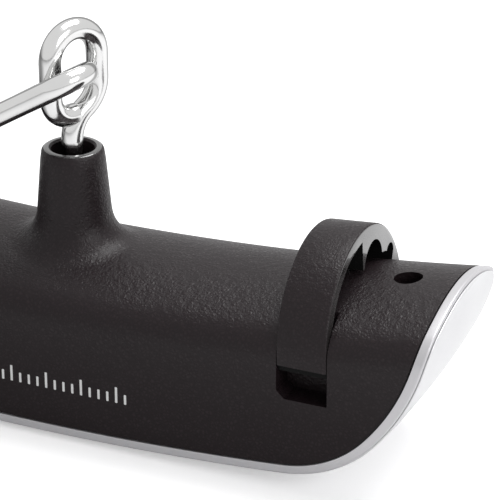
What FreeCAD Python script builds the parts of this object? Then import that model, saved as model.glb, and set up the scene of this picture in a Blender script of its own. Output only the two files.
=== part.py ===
"""Digital hanging luggage scale, lying on its display face with the hook side up.

+X runs along the body, +Y across it and +Z up through the neck.  The origin is
under the middle of the body, at the lowest point of the display face.  Lengths
are in millimetres and every driving size is a cell of the spreadsheet "sizes".
"""
import FreeCAD, Part
import math
import os
import re
import Sketcher

SIZES = {
    # body shell, bent about an axis far above it
    "bend_radius": 620.0,
    "edge_height": 3.2,
    "body_depth": 31.8,
    "half_width": 19.6,
    "crown_radius": 34.0,
    "shoulder_radius": 7.0,
    "wall": 2.0,
    "end_start": 52.4,
    "end_low_radius": 24.0,
    "end_high_radius": 45.0,
    "end_turn": 49.0,
    # front cover, gasket and fascia
    "gasket_thick": 0.35,
    "gasket_inset": 0.5,
    "cover_thick": 2.2,
    "fascia_thick": 1.0,
    "fascia_edge": 0.35,
    "fascia_inset": 0.9,
    "fascia_bond": 0.1,
    # neck
    "neck_rise": 18.9,
    "neck_rim_radius": 6.2,
    "neck_taper": 5.0,
    "neck_bore_radius": 4.3,
    "neck_fillet": 4.5,
    "neck_rim_round": 0.8,
    "bush_length": 8.0,
    "bush_drop": 5.0,
    # wire parts
    "wire_radius": 2.2,
    "eye_half_span": 5.75,
    "eye_rise": 24.0,
    "eye_offset": 0.87,
    "eye_low_rise": 6.6,
    "eye_curl_radius": 4.4,
    "eye_bend_angle": 60.0,
    "eye_bend_rise": 1.6,
    "eye_turn": 66.0,
    "hook_ring_play": 0.7,
    "hook_ring_back": 3.2,
    "hook_ring_front": 2.0,
    "hook_ring_open": 20.0,
    "hook_shank": 14.0,
    "hook_bow_radius": 12.0,
    "hook_bow_reach": 38.6,
    "hook_flare_angle": 35.0,
    "hook_tip_run": 7.0,
    "hook_tip_angle": 28.0,
    "hook_tip_radius": 11.0,
    "hook_pivot_rise": 13.0,
    "hook_rest_slope": 31.1,
    "hook_rest_roll": 5.3,
    "shank_bottom": 11.0,
    "shank_play": 0.08,
    # hook bridge
    "bridge_middle": 56.6,
    "bridge_wide": 10.0,
    "bridge_top": 46.6,
    "bridge_outer_radius": 19.9,
    "bridge_inner_radius": 14.6,
    "bridge_crest_thick": 3.8,
    "bridge_foot": 26.4,
    "bridge_play": 0.1,
    "bridge_window": 7.0,
    "bridge_window_corner": 1.6,
    "bridge_tongue": 1.5,
    "bridge_rib_place": 4.8,
    "bridge_rib_wide": 1.6,
    "bridge_rib_deep": 1.7,
    # screws that close the housing
    "screw_place": 70.0,
    "screw_access_radius": 2.75,
    "screw_seat_height": 22.0,
    "screw_seat_thick": 2.4,
    "screw_boss_wall": 1.8,
    "screw_head_radius": 2.4,
    "screw_head_high": 1.8,
    "screw_radius": 1.3,
    "screw_long": 7.8,
    "screw_slot_long": 2.9,
    "screw_slot_wide": 0.5,
    "cover_boss_radius": 2.9,
    # display
    "window_long": 38.0,
    "window_wide": 16.0,
    "window_border": 1.5,
    "pane_play": 0.2,
    "lcd_long": 36.0,
    "lcd_wide": 18.0,
    "lcd_thick": 2.4,
    "lcd_frame_wall": 1.4,
    "connector_wide": 1.6,
    # circuit board
    "board_left": -25.0,
    "board_right": 45.0,
    "board_wide": 27.0,
    "board_height": 7.6,
    "board_thick": 1.2,
    "post_radius": 2.2,
    "post_inset": 3.2,
    "board_screw_radius": 0.9,
    "chip_side": 8.0,
    "chip_thick": 1.2,
    # buttons
    "unit_place": 27.5,
    "power_place": 38.0,
    "button_radius": 3.6,
    "button_play": 0.25,
    "button_flange": 0.9,
    "button_flange_thick": 0.6,
    "button_proud": 0.25,
    "button_travel": 0.5,
    "switch_side": 4.5,
    # coin cell
    "cell_place": -37.5,
    "cell_radius": 10.0,
    "cell_thick": 3.2,
    "cell_play": 0.3,
    "holder_wall": 1.2,
    "cap_radius": 12.0,
    "cap_thick": 1.6,
    "cap_play": 0.2,
    "cap_slot_wide": 1.6,
    "cap_slot_deep": 0.7,
    "cap_slot_long": 14.0,
    "contact_thick": 0.3,
    "contact_wide": 4.0,
    # load cell
    "beam_left": -7.0,
    "beam_right": 41.0,
    "beam_wide": 11.0,
    "beam_high": 9.0,
    "beam_bottom": 17.0,
    "beam_hole_radius": 3.2,
    "beam_hole_near": 12.0,
    "beam_hole_far": 20.0,
    "beam_screw_near": 30.0,
    "beam_screw_far": 36.5,
    "beam_screw_radius": 1.6,
    "beam_screw_head": 2.8,
    "gauge_thick": 0.3,
    "gauge_long": 7.0,
    "washer_radius": 5.0,
    "washer_thick": 1.0,
    "nut_across": 8.0,
    "nut_high": 3.4,
    "lead_wide": 4.0,
    "lead_thick": 0.4,
}

NAMES = re.compile(r"[a-z]+(?:_[a-z]+)*")
SPAN = 15.0
DEEP = 60.0

doc = FreeCAD.newDocument("luggage_scale")
sheet = doc.addObject("Spreadsheet::Sheet", "sizes")
for row, (alias, value) in enumerate(SIZES.items(), start=1):
    sheet.set("A%d" % row, str(value))
    sheet.setAlias("A%d" % row, alias)
doc.recompute()

pieces = []


def bound(expression):
    """The expression with every size's name pointing at the sheet."""
    return NAMES.sub(lambda m: "sizes." + m.group() if m.group() in SIZES else m.group(), expression)


def val(expression):
    """The number that an expression of sizes gives."""
    return float(sheet.evalExpression(bound(str(expression))))


def bind(thing, **properties):
    """Tie properties of an object to expressions of the sizes."""
    for name, expression in properties.items():
        thing.setExpression(name, bound(str(expression)))
    return thing


def piece(thing, node):
    """Name a finished sub-part, so that it is checked and written."""
    thing.Label = node
    pieces.append(thing)
    return thing


def spot(across_x, across_y, up):
    """A vector from three expressions."""
    return FreeCAD.Vector(val(across_x), val(across_y), val(up))


# ---------------------------------------------------------------- places

BEND_HEIGHT = "(edge_height + bend_radius)"
NECK_TOP = "(edge_height + body_depth + neck_rise)"


def swing(place):
    """The placement that carries a thing from under the neck along the bend to x = place."""
    turn = FreeCAD.Rotation(FreeCAD.Vector(0, -1, 0), math.degrees(math.asin(val(place) / val("bend_radius"))))
    centre = spot(0, 0, BEND_HEIGHT)
    return FreeCAD.Placement(centre - turn.multVec(centre), turn)


STILL = FreeCAD.Placement()
TURNS = {
    "z": FreeCAD.Rotation(),
    "y": FreeCAD.Rotation(FreeCAD.Vector(1, 0, 0), -90),
}


def box(name, sizes, at, carry=STILL):
    """A box, centred on x and y, standing on at, then carried by a placement."""
    thing = doc.addObject("Part::Box", name)
    bind(thing, Length=sizes[0], Width=sizes[1], Height=sizes[2])
    corner = spot(*at) - FreeCAD.Vector(val(sizes[0]) / 2, val(sizes[1]) / 2, 0)
    thing.Placement = carry.multiply(FreeCAD.Placement(corner, FreeCAD.Rotation()))
    return thing


def rod(name, radius, length, at, along="z", carry=STILL):
    """A cylinder that starts at a point and runs along an axis."""
    thing = doc.addObject("Part::Cylinder", name)
    bind(thing, Radius=radius, Height=length)
    thing.Placement = carry.multiply(FreeCAD.Placement(spot(*at), TURNS[along]))
    return thing


def cut(name, base, *tools):
    """The base with each tool taken away."""
    for count, tool in enumerate(tools):
        thing = doc.addObject("Part::Cut", "%s_%d" % (name, count))
        thing.Base = base
        thing.Tool = tool
        base = thing
    return base


def fuse(name, *things):
    """One solid from several that touch."""
    thing = doc.addObject("Part::MultiFuse", name)
    thing.Shapes = list(things)
    return thing


def common(name, base, tool):
    """The part of the base that lies inside the tool."""
    thing = doc.addObject("Part::Common", name)
    thing.Base = base
    thing.Tool = tool
    return thing


def group(name, *things):
    """Separate solids that share one node."""
    thing = doc.addObject("Part::Compound", name)
    thing.Links = list(things)
    return thing


# ---------------------------------------------------------------- sketches

def arc_between(start, end, centre, radius):
    """An arc of under half a turn, and whether it runs anticlockwise."""
    first, last = start - centre, end - centre
    forward = first.x * last.y - first.y * last.x > 0
    middle = first + last
    middle = centre + middle * (radius / middle.Length)
    ends = (start, middle, end) if forward else (end, middle, start)
    return Part.Arc(*ends), forward


def outline(sketch, corners, curves, closed=True):
    """Draw corners joined by lines, or by arcs where curves names a centre and a radius.

    Every corner, and each arc's centre square to its chord, is a constraint bound to the sheet.
    """
    points = [spot(across, up, 0) for across, up in corners]
    count = len(points) if closed else len(points) - 1
    ends = []
    for index in range(count):
        start, end = points[index], points[(index + 1) % len(points)]
        if index in curves:
            centre_x, centre_y, radius = curves[index]
            curve, forward = arc_between(start, end, spot(centre_x, centre_y, 0), val(radius))
            ends.append((1, 2) if forward else (2, 1))
        else:
            curve = Part.LineSegment(start, end)
            ends.append((1, 2))
        sketch.addGeometry(curve, False)
    joined = count if closed else count - 1
    for index in range(joined):
        after = (index + 1) % count
        sketch.addConstraint(Sketcher.Constraint("Coincident", index, ends[index][1], after, ends[after][0]))
    for index, corner in enumerate(corners):
        edge = min(index, count - 1)
        end = ends[edge][0] if index < count else ends[edge][1]
        for kind, letter, expression in (("DistanceX", "x", corner[0]), ("DistanceY", "y", corner[1])):
            fixed = Sketcher.Constraint(kind, -1, 1, edge, end, val(expression))
            name = "corner_%s%d" % (letter, index)
            sketch.renameConstraint(sketch.addConstraint(fixed), name)
            sketch.setExpression("Constraints." + name, bound(str(expression)))
    for index, (centre_x, centre_y, _) in curves.items():
        chord = points[(index + 1) % len(points)] - points[index]
        flat = abs(chord.x) > abs(chord.y)
        kind, expression = ("DistanceY", centre_y) if flat else ("DistanceX", centre_x)
        name = "centre%d" % index
        fixed = Sketcher.Constraint(kind, -1, 1, index, 3, val(expression))
        sketch.renameConstraint(sketch.addConstraint(fixed), name)
        sketch.setExpression("Constraints." + name, bound(str(expression)))
    return sketch


def sketch_on(body, role, raised, corners, curves):
    """A closed sketch on one of the body's origin planes, its origin raised by an expression."""
    sketch = body.newObject("Sketcher::SketchObject", body.Name + "_sketch")
    plane = [item for item in body.Origin.OriginFeatures if item.Role == role][0]
    sketch.AttachmentSupport = [(plane, "")]
    sketch.MapMode = "FlatFace"
    sketch.AttachmentOffset = FreeCAD.Placement(FreeCAD.Vector(0, val(raised), 0), FreeCAD.Rotation())
    bind(sketch, **{"AttachmentOffset.Base.y": raised})
    return outline(sketch, corners, curves)


def new_body(name):
    """An empty PartDesign body."""
    return doc.addObject("PartDesign::Body", name)


def padded(name, role, corners, curves, length, place=STILL):
    """A body with one outline padded evenly to both sides of its plane."""
    body = new_body(name)
    pad = body.newObject("PartDesign::Pad", name + "_pad")
    pad.Profile = sketch_on(body, role, "0", corners, curves)
    pad.Midplane = True
    bind(pad, Length=length)
    body.Placement = place
    return body


# ---------------------------------------------------------------- the bent body

def bent(name, corners, curves, half_angle):
    """A body swept about the bend axis; its section's heights count from that axis."""
    body = new_body(name)
    turn = body.newObject("PartDesign::Revolution", name + "_bend")
    sketch = sketch_on(body, "YZ_Plane", BEND_HEIGHT, corners, curves)
    turn.Profile = sketch
    turn.ReferenceAxis = (sketch, ["H_Axis"])
    turn.Midplane = True
    bind(turn, Angle="2 * (%s)" % half_angle)
    return body


def bent_plate(name, long, wide, low, high, place="0"):
    """A plate that follows the bend, between two heights under the neck, at x = place."""
    across = "(%s) / 2" % wide
    below, above = ["(%s) - %s" % (height, BEND_HEIGHT) for height in (low, high)]
    corners = [("-" + across, below), (across, below), (across, above), ("-" + across, above)]
    body = bent(name, corners, {}, "asin((%s) / 2 / bend_radius)" % long)
    body.Placement = swing(place)
    return body


def section(inset, below, crowned=None):
    """The D-shaped cross-section, set in by inset and reaching below the shell's edge."""
    centre = "(body_depth - bend_radius - crown_radius)"
    side = "(half_width - shoulder_radius)"
    rise = "sqrt((crown_radius - shoulder_radius)^2 - %s^2)" % side
    share = "(crown_radius - (%s)) / (crown_radius - shoulder_radius)" % inset
    touch = ("%s * %s" % (side, share), "%s + %s * %s" % (centre, rise, share))
    edge = "(half_width - (%s))" % inset
    bottom = "-(bend_radius + (%s))" % below
    shoulder = "%s + %s" % (centre, rise)
    corners = [("-" + edge, bottom), (edge, bottom), (edge, shoulder), touch,
               ("-" + touch[0], touch[1]), ("-" + edge, shoulder)]
    round_radius = "shoulder_radius - (%s)" % inset
    curves = {
        2: (side, shoulder, round_radius),
        3: ("0", centre, "crown_radius - (%s)" % inset),
        4: ("-" + side, shoulder, round_radius),
    }
    if crowned is not None:
        radius = "(%s^2 + (%s)^2) / 2 / (%s)" % (edge, crowned, crowned)
        curves[0] = ("0", "%s + %s - (%s)" % (bottom, radius, crowned), radius)
    return corners, curves


START = "asin(end_start / bend_radius)"


def end_point(out, turn, radius_name, sign):
    """A point of the end's profile, where its slope is turn, pushed out by out."""
    low = "(bend_radius - end_low_radius)"
    centre_x, centre_z = "%s * sin(%s)" % (low, START), "-%s * cos(%s)" % (low, START)
    if radius_name == "end_high_radius":
        centre_x += " - (end_high_radius - end_low_radius) * sin(end_turn)"
        centre_z += " + (end_high_radius - end_low_radius) * cos(end_turn)"
    reach = "(%s + (%s))" % (radius_name, out)
    point = ("%s * (%s + %s * sin(%s))" % (sign, centre_x, reach, turn),
             "%s - %s * cos(%s)" % (centre_z, reach, turn))
    return point, ("%s * (%s)" % (sign, centre_x), centre_z, reach)


def trim_end(body, out, sign):
    """Cut one end of a bent body to the swept-up profile, pushed out by out."""
    first, low_arc = end_point(out, START, "end_low_radius", sign)
    knee, _ = end_point(out, "end_turn", "end_low_radius", sign)
    last, high_arc = end_point(out, "90", "end_high_radius", sign)
    top = "body_depth + %g - bend_radius" % DEEP
    bottom = "-(bend_radius + %g)" % SPAN
    far = "%s + %s * %g" % (last[0], sign, 2 * SPAN)
    corners = [first, knee, last, (last[0], top), (far, top), (far, bottom), (first[0], bottom)]
    pocket = body.newObject("PartDesign::Pocket", "%s_end%s" % (body.Name, "a" if sign == "1" else "b"))
    pocket.Profile = sketch_on(body, "XZ_Plane", BEND_HEIGHT, corners, {0: low_arc, 1: high_arc})
    pocket.Midplane = True
    bind(pocket, Length="4 * half_width")


def hull(name, inset, below, out, crowned=None):
    """The whole curved body: the bent section with both ends trimmed."""
    tip, _ = end_point("0", "90", "end_high_radius", "1")
    half_angle = "asin((%s + %g) / bend_radius)" % (tip[0], SPAN / 2)
    corners, curves = section(inset, below, crowned)
    body = bent(name, corners, curves, half_angle)
    for sign in ("1", "-1"):
        trim_end(body, out, sign)
    return body


# ---------------------------------------------------------------- housing

def neck_solid():
    """The plain tapered neck, rooted well inside the body."""
    cone = doc.addObject("Part::Cone", "neck_cone")
    high = "(neck_rise + crown_radius / 4)"
    bind(cone, Radius1="neck_rim_radius + %s * tan(neck_taper)" % high, Radius2="neck_rim_radius", Height=high)
    cone.Placement = FreeCAD.Placement(spot(0, 0, NECK_TOP + " - " + high), FreeCAD.Rotation())
    return cone


def rounded_neck(shell):
    """Fillet the rim of the neck, and the crease where it meets the body."""
    doc.recompute()
    limit = val("neck_rim_radius + neck_fillet")
    edges = []
    for number, edge in enumerate(shell.Shape.Edges, start=1):
        points = edge.discretize(9)
        if max(math.hypot(point.x, point.y) for point in points) > limit:
            continue
        if min(point.z for point in points) > val(NECK_TOP) - 0.01:
            edges.append((number, val("neck_rim_round"), val("neck_rim_round")))
        elif min(point.z for point in points) > val("edge_height + body_depth / 2"):
            edges.append((number, val("neck_fillet"), val("neck_fillet")))
    thing = doc.addObject("Part::Fillet", "neck_rounding")
    thing.Base = shell
    thing.Edges = edges
    return thing


def bridge_body(name, play):
    """The arch over the ridge, grown by play for the slot that it stands in."""
    outer = "(bridge_outer_radius + %s)" % play
    inner = "(bridge_inner_radius - %s)" % play
    outer_centre = "(bridge_top - bridge_outer_radius)"
    inner_centre = "(bridge_top - bridge_crest_thick - bridge_inner_radius)"
    foot = "(bridge_foot - %s)" % play
    outer_top, inner_top = outer_centre + " + " + outer, inner_centre + " + " + inner
    corners = [(outer, foot), (outer, outer_centre), ("0", outer_top), ("-" + outer, outer_centre),
               ("-" + outer, foot), ("-" + inner, foot), ("-" + inner, inner_centre), ("0", inner_top),
               (inner, inner_centre), (inner, foot)]
    curves = {index: ("0", outer_centre, outer) for index in (1, 2)}
    curves.update({index: ("0", inner_centre, inner) for index in (6, 7)})
    body = padded(name, "YZ_Plane", corners, curves, "bridge_wide + 2 * %s" % play)
    body.Placement = FreeCAD.Placement(spot("bridge_middle", 0, 0), FreeCAD.Rotation())
    return body


def bridge_window(side):
    """The channel in the shell's side for one leg of the bridge, open for a way below its foot."""
    half = "(bridge_wide / 2 + bridge_play)"
    low = "(bridge_foot - bridge_window)"
    top = "(edge_height + body_depth)"
    corners = [("-" + half + " + bridge_window_corner", low), (half, low), (half, top),
               ("-" + half, top), ("-" + half, low + " + bridge_window_corner")]
    depth = "(half_width - bridge_inner_radius + 2 * bridge_play)"
    body = padded("window_%s" % ("near" if side == "-1" else "far"), "XZ_Plane", corners, {}, depth)
    middle = "%s * (half_width + bridge_inner_radius) / 2" % side
    body.Placement = FreeCAD.Placement(spot("bridge_middle", middle, 0), FreeCAD.Rotation())
    return body


def cavity():
    """The hollow of the shell, with solid ground left around the bridge, screws and load cell."""
    hollow = hull("hollow", "wall", "wall", "-wall")
    tall = "2 * body_depth"
    solid = []
    for side in ("-1", "1"):
        deep = "(half_width - bridge_inner_radius + wall)"
        solid.append(box("bridge_block", ("bridge_wide + 2 * wall", deep, tall),
                         ("bridge_middle", "%s * (half_width - %s / 2)" % (side, deep), 0)))
        solid.append(rod("screw_block", "screw_access_radius + screw_boss_wall", tall,
                         (side + " * screw_place", 0, 0)))
    reach = "(beam_right - beam_screw_near + 2 * beam_screw_head)"
    solid.append(box("beam_block", (reach, "beam_wide + wall", tall),
                     ("beam_right + wall - %s / 2" % reach, 0, "beam_bottom + beam_high + bridge_play")))
    solid.append(rod("bush_block", "neck_bore_radius + wall", tall,
                     (0, 0, NECK_TOP + " - bush_drop - bush_length - wall")))
    return cut("hollow_cut", hollow, *solid)


def screw_holes(side):
    """The stepped hole through the shell at one end, from the ridge down."""
    place = side + " * screw_place"
    access = rod("access", "screw_access_radius", DEEP, (place, 0, "screw_seat_height"))
    through = rod("through", "screw_radius + bridge_play", DEEP, (place, 0, "screw_seat_height - %g" % (DEEP / 2)))
    socket = rod("socket", "cover_boss_radius + bridge_play", "screw_seat_height - screw_seat_thick",
                 (place, 0, 0))
    return [access, through, socket]


def back_shell():
    """The dark rear housing with its neck, bridge slots and screw wells."""
    outer = hull("shell_outer", "0", "0", "0")
    shell = rounded_neck(fuse("shell_with_neck", outer, neck_solid()))
    bore = rod("neck_bore", "neck_bore_radius", DEEP, (0, 0, NECK_TOP + " - bush_drop - bush_length"))
    passage = rod("neck_passage", "wire_radius + wall / 2", DEEP, (0, 0, "beam_bottom"))
    tools = [cavity(), bore, passage, bridge_body("bridge_slot", "bridge_play")]
    tools += [bridge_window("-1"), bridge_window("1")]
    tools += screw_holes("-1") + screw_holes("1")
    for place in ("beam_screw_near", "beam_screw_far"):
        tools.append(rod("beam_thread", "beam_screw_radius", "body_depth / 6 + beam_high",
                         (place, 0, "beam_bottom")))
    piece(cut("shell", shell, *tools), "back_shell")


def posts():
    """Where the circuit board is screwed down."""
    side = "(board_wide / 2 - post_inset)"
    for along in ("board_left + post_inset", "board_right - post_inset"):
        for sign in ("-1", "1"):
            yield along, "%s * %s" % (sign, side)


def front_cover():
    """The satin front cover, whose edge shows as a band, with its openings, posts and bosses."""
    outer = hull("cover_outer", "0", "cover_thick", "cover_thick")
    inner = hull("cover_inner", "-wall", "gasket_thick", "gasket_thick")
    plate = cut("cover_plate", outer, inner)
    grown = [common("cover_boss", rod("boss_rod", "cover_boss_radius",
                                      "screw_seat_height - screw_seat_thick - bridge_play",
                                      (side + " * screw_place", 0, 0)),
                    hull("cover_limit", "wall", "cover_thick", "cover_thick"))
             for side in ("-1", "1")]
    for along, across in posts():
        foot = "(%s - sqrt((bend_radius + cover_thick / 2)^2 - (%s)^2))" % (BEND_HEIGHT, along)
        grown.append(rod("post", "post_radius", "board_height - " + foot, (along, across, foot)))
    cover = fuse("cover_whole", plate, *grown)
    tools = [bent_plate("cover_window", "window_long", "window_wide", "0", "edge_height")]
    for place in ("unit_place", "power_place"):
        tools.append(rod("button_hole", "button_radius + button_play", "3 * edge_height",
                         (0, 0, "-edge_height"), carry=swing(place)))
    tools.append(rod("cap_hole", "cap_radius + cap_play", "3 * edge_height", (0, 0, "-edge_height"),
                     carry=swing("cell_place")))
    for along, across in posts():
        tools.append(rod("post_hole", "board_screw_radius", "board_height", (along, across, "board_height / 2")))
    for side in ("-1", "1"):
        tools.append(rod("boss_hole", "screw_radius", "screw_seat_height",
                         (side + " * screw_place", 0, "screw_seat_height - screw_long")))
    piece(cut("cover", cover, *tools), "front_cover")


def seam_gasket():
    """The thin dark gasket that shows as a line between the shell and the cover."""
    outer = hull("gasket_outer", "gasket_inset", "gasket_thick", "gasket_thick")
    inner = hull("gasket_inner", "-wall", "0", "0")
    middle = hull("gasket_middle", "wall", "wall", "-wall")
    tools = [inner, middle]
    for side in ("-1", "1"):
        tools.append(rod("gasket_hole", "cover_boss_radius + bridge_play", DEEP, (side + " * screw_place", 0, 0)))
    piece(cut("gasket", outer, *tools), "seam_gasket")


def fascia():
    """The pale crowned plate on the front cover, with its openings."""
    crown = "fascia_thick - fascia_edge"
    outer = hull("fascia_outer", "fascia_inset", "cover_thick + fascia_edge", "cover_thick + fascia_thick", crown)
    seat = "cover_thick + fascia_bond"
    inner = hull("fascia_inner", "-wall", seat, seat)
    plate = cut("fascia_plate", outer, inner)
    border = " - 2 * window_border"
    tools = [bent_plate("fascia_window", "window_long" + border, "window_wide" + border,
                        "-edge_height", "edge_height")]
    for place in ("unit_place", "power_place"):
        tools.append(rod("fascia_button", "button_radius + button_play", "3 * edge_height",
                         (0, 0, "-edge_height"), carry=swing(place)))
    tools.append(rod("fascia_cap", "cap_radius + cap_play", "3 * edge_height", (0, 0, "-edge_height"),
                     carry=swing("cell_place")))
    piece(cut("fascia", plate, *tools), "face_plate")


def hook_bridge():
    """The arch that the folded hook is parked under, with its rib and latch tongues."""
    arch = bridge_body("bridge_arch", "0")
    rib = box("bridge_rib", ("bridge_wide", "bridge_rib_wide", "bridge_rib_deep + bridge_crest_thick / 2"),
              ("bridge_middle", "bridge_rib_place",
               "bridge_top - 3 * bridge_crest_thick / 2 - bridge_rib_deep + bridge_crest_thick / 2"))
    thick = "(bridge_outer_radius - bridge_inner_radius) / 2"
    parts = [arch, rib]
    for side in ("-1", "1"):
        middle = "%s * (bridge_inner_radius + %s / 2)" % (side, thick)
        parts.append(box("bridge_tongue", ("bridge_wide * 0.9", thick, "bridge_tongue + bridge_play"),
                         ("bridge_middle", middle, "bridge_foot - bridge_tongue")))
    piece(fuse("bridge", *parts), "hook_bridge")


def neck_bush():
    """The nylon bush that guides the shank in the neck."""
    outer = rod("bush_outer", "neck_bore_radius", "bush_length", (0, 0, NECK_TOP + " - bush_drop - bush_length"))
    inner = rod("bush_inner", "wire_radius + shank_play", DEEP, (0, 0, "beam_bottom"))
    piece(cut("bush", outer, inner), "neck_bush")


def housing_screws():
    """The two screws at the bottom of the wells near the ends."""
    made = []
    for side in ("-1", "1"):
        place = side + " * screw_place"
        head = rod("head", "screw_head_radius", "screw_head_high", (place, 0, "screw_seat_height"))
        shank = rod("shank", "screw_radius", "screw_long", (place, 0, "screw_seat_height - screw_long"))
        slot = [box("slot", sizes, (place, 0, "screw_seat_height + screw_head_high / 2"))
                for sizes in (("screw_slot_long", "screw_slot_wide", "screw_head_high"),
                              ("screw_slot_wide", "screw_slot_long", "screw_head_high"))]
        made.append(cut("screw", fuse("screw_whole", head, shank), *slot))
    piece(group("screws", *made), "housing_screws")


# ---------------------------------------------------------------- wire parts

def wire(name, corners, curves, place, start, heading):
    """A round wire swept along an open path of lines and arcs."""
    path = doc.addObject("Sketcher::SketchObject", name + "_path")
    outline(path, corners, curves, closed=False)
    path.Placement = place
    ring = doc.addObject("Part::Circle", name + "_section")
    bind(ring, Radius="wire_radius")
    aim = FreeCAD.Rotation(FreeCAD.Vector(0, 0, 1), FreeCAD.Vector(*heading))
    ring.Placement = place.multiply(FreeCAD.Placement(spot(start[0], start[1], 0), aim))
    doc.recompute()
    sweep = doc.addObject("Part::Sweep", name)
    sweep.Sections = [ring]
    sweep.Spine = (path, ["Edge%d" % (number + 1) for number in range(len(corners) - 1)])
    sweep.Solid = True
    sweep.Frenet = False
    return sweep


def shank_eye():
    """The shank that swivels in the neck and ends in a bent eye."""
    far, near = "(eye_offset + eye_half_span)", "(eye_offset - eye_half_span)"
    bend = "(%s / 2 / (1 - cos(eye_bend_angle)))" % far
    rise = "%s * sin(eye_bend_angle)" % bend
    low = NECK_TOP + " + eye_bend_rise"
    high = low + " + 2 * " + rise
    top, bottom = NECK_TOP + " + eye_rise", NECK_TOP + " + eye_low_rise"
    arch = "(%s - eye_half_span)" % top
    curl = "(%s + eye_curl_radius)" % bottom
    middle = (far + " / 2", low + " + " + rise)
    last = near + " + eye_curl_radius"
    corners = [("0", "shank_bottom"), ("0", low), middle, (far, high), (far, arch), ("eye_offset", top),
               (near, arch), (near, curl), (last, bottom), (last + " + wire_radius - eye_offset", bottom)]
    curves = {
        1: (bend, low, bend),
        2: (far + " - " + bend, high, bend),
        4: ("eye_offset", arch, "eye_half_span"),
        5: ("eye_offset", arch, "eye_half_span"),
        7: (last, curl, "eye_curl_radius"),
    }
    place = FreeCAD.Placement(FreeCAD.Vector(), FreeCAD.Rotation(FreeCAD.Vector(0, 0, 1), val("eye_turn")))
    place = place.multiply(FreeCAD.Placement(FreeCAD.Vector(), FreeCAD.Rotation(FreeCAD.Vector(1, 0, 0), 90)))
    piece(wire("eye", corners, curves, place, corners[0], (0, 1, 0)), "shank_eye")


def hook():
    """The wire hook, whose ring holds the near limb of the eye and whose bow rests on the ridge."""
    ring = "(2 * wire_radius + hook_ring_play)"
    bow = "hook_bow_radius"
    start = ("hook_ring_front + %s * cos(hook_ring_open)" % ring, "-%s * sin(hook_ring_open)" % ring)
    flare = "((%s - %s) / 2 / (1 - cos(hook_flare_angle)))" % (bow, ring)
    run = "%s * sin(hook_flare_angle)" % flare
    side = "(%s + %s) / 2" % (bow, ring)
    tip = "(hook_bow_reach - hook_tip_run)"
    corners = [start, ("hook_ring_front", ring), ("-hook_ring_back", ring),
               ("-hook_ring_back - " + ring, "0"), ("-hook_ring_back", "-" + ring),
               ("hook_shank", "-" + ring), ("hook_shank + " + run, "-" + side),
               ("hook_shank + 2 * " + run, "-" + bow), ("hook_bow_reach", "-" + bow),
               ("hook_bow_reach + " + bow, "0"), ("hook_bow_reach", bow),
               (tip, bow), ("%s - hook_tip_radius * sin(hook_tip_angle)" % tip,
                            "%s + hook_tip_radius * (1 - cos(hook_tip_angle))" % bow)]
    curves = {
        0: ("hook_ring_front", "0", ring),
        2: ("-hook_ring_back", "0", ring),
        3: ("-hook_ring_back", "0", ring),
        5: ("hook_shank", "-%s - %s" % (ring, flare), flare),
        6: ("hook_shank + 2 * " + run, "-%s + %s" % (bow, flare), flare),
        8: ("hook_bow_reach", "0", bow),
        9: ("hook_bow_reach", "0", bow),
        11: (tip, "%s + hook_tip_radius" % bow, "hook_tip_radius"),
    }
    limb = FreeCAD.Rotation(FreeCAD.Vector(0, 0, 1), val("eye_turn")).multVec(spot("eye_offset - eye_half_span", 0, 0))
    pivot = FreeCAD.Vector(limb.x, limb.y, val(NECK_TOP + " + hook_pivot_rise"))
    slope = FreeCAD.Rotation(FreeCAD.Vector(0, 1, 0), 180 - val("hook_rest_slope"))
    roll = FreeCAD.Rotation(FreeCAD.Vector(1, 0, 0), val("hook_rest_roll"))
    place = FreeCAD.Placement(pivot, slope.multiply(roll))
    heading = (math.sin(math.radians(val("hook_ring_open"))), math.cos(math.radians(val("hook_ring_open"))), 0)
    piece(wire("hook_wire", corners, curves, place, start, heading), "hook")


def shank_fastening():
    """The washer and nut under the load cell that carry the shank."""
    hole = rod("nut_hole", "wire_radius", DEEP, (0, 0, 0))
    washer = rod("washer_disc", "washer_radius", "washer_thick",
                 (0, 0, "beam_bottom - shank_play - washer_thick"))
    piece(cut("washer", washer, hole), "shank_washer")
    top = "(beam_bottom - shank_play - washer_thick)"
    prism = doc.addObject("Part::Prism", "nut_prism")
    prism.Polygon = 6
    bind(prism, Circumradius="nut_across / sqrt(3)", Height="nut_high")
    prism.Placement = FreeCAD.Placement(spot(0, 0, top + " - nut_high"), FreeCAD.Rotation())
    piece(cut("nut", prism, hole), "shank_nut")


# ---------------------------------------------------------------- load cell

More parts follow.
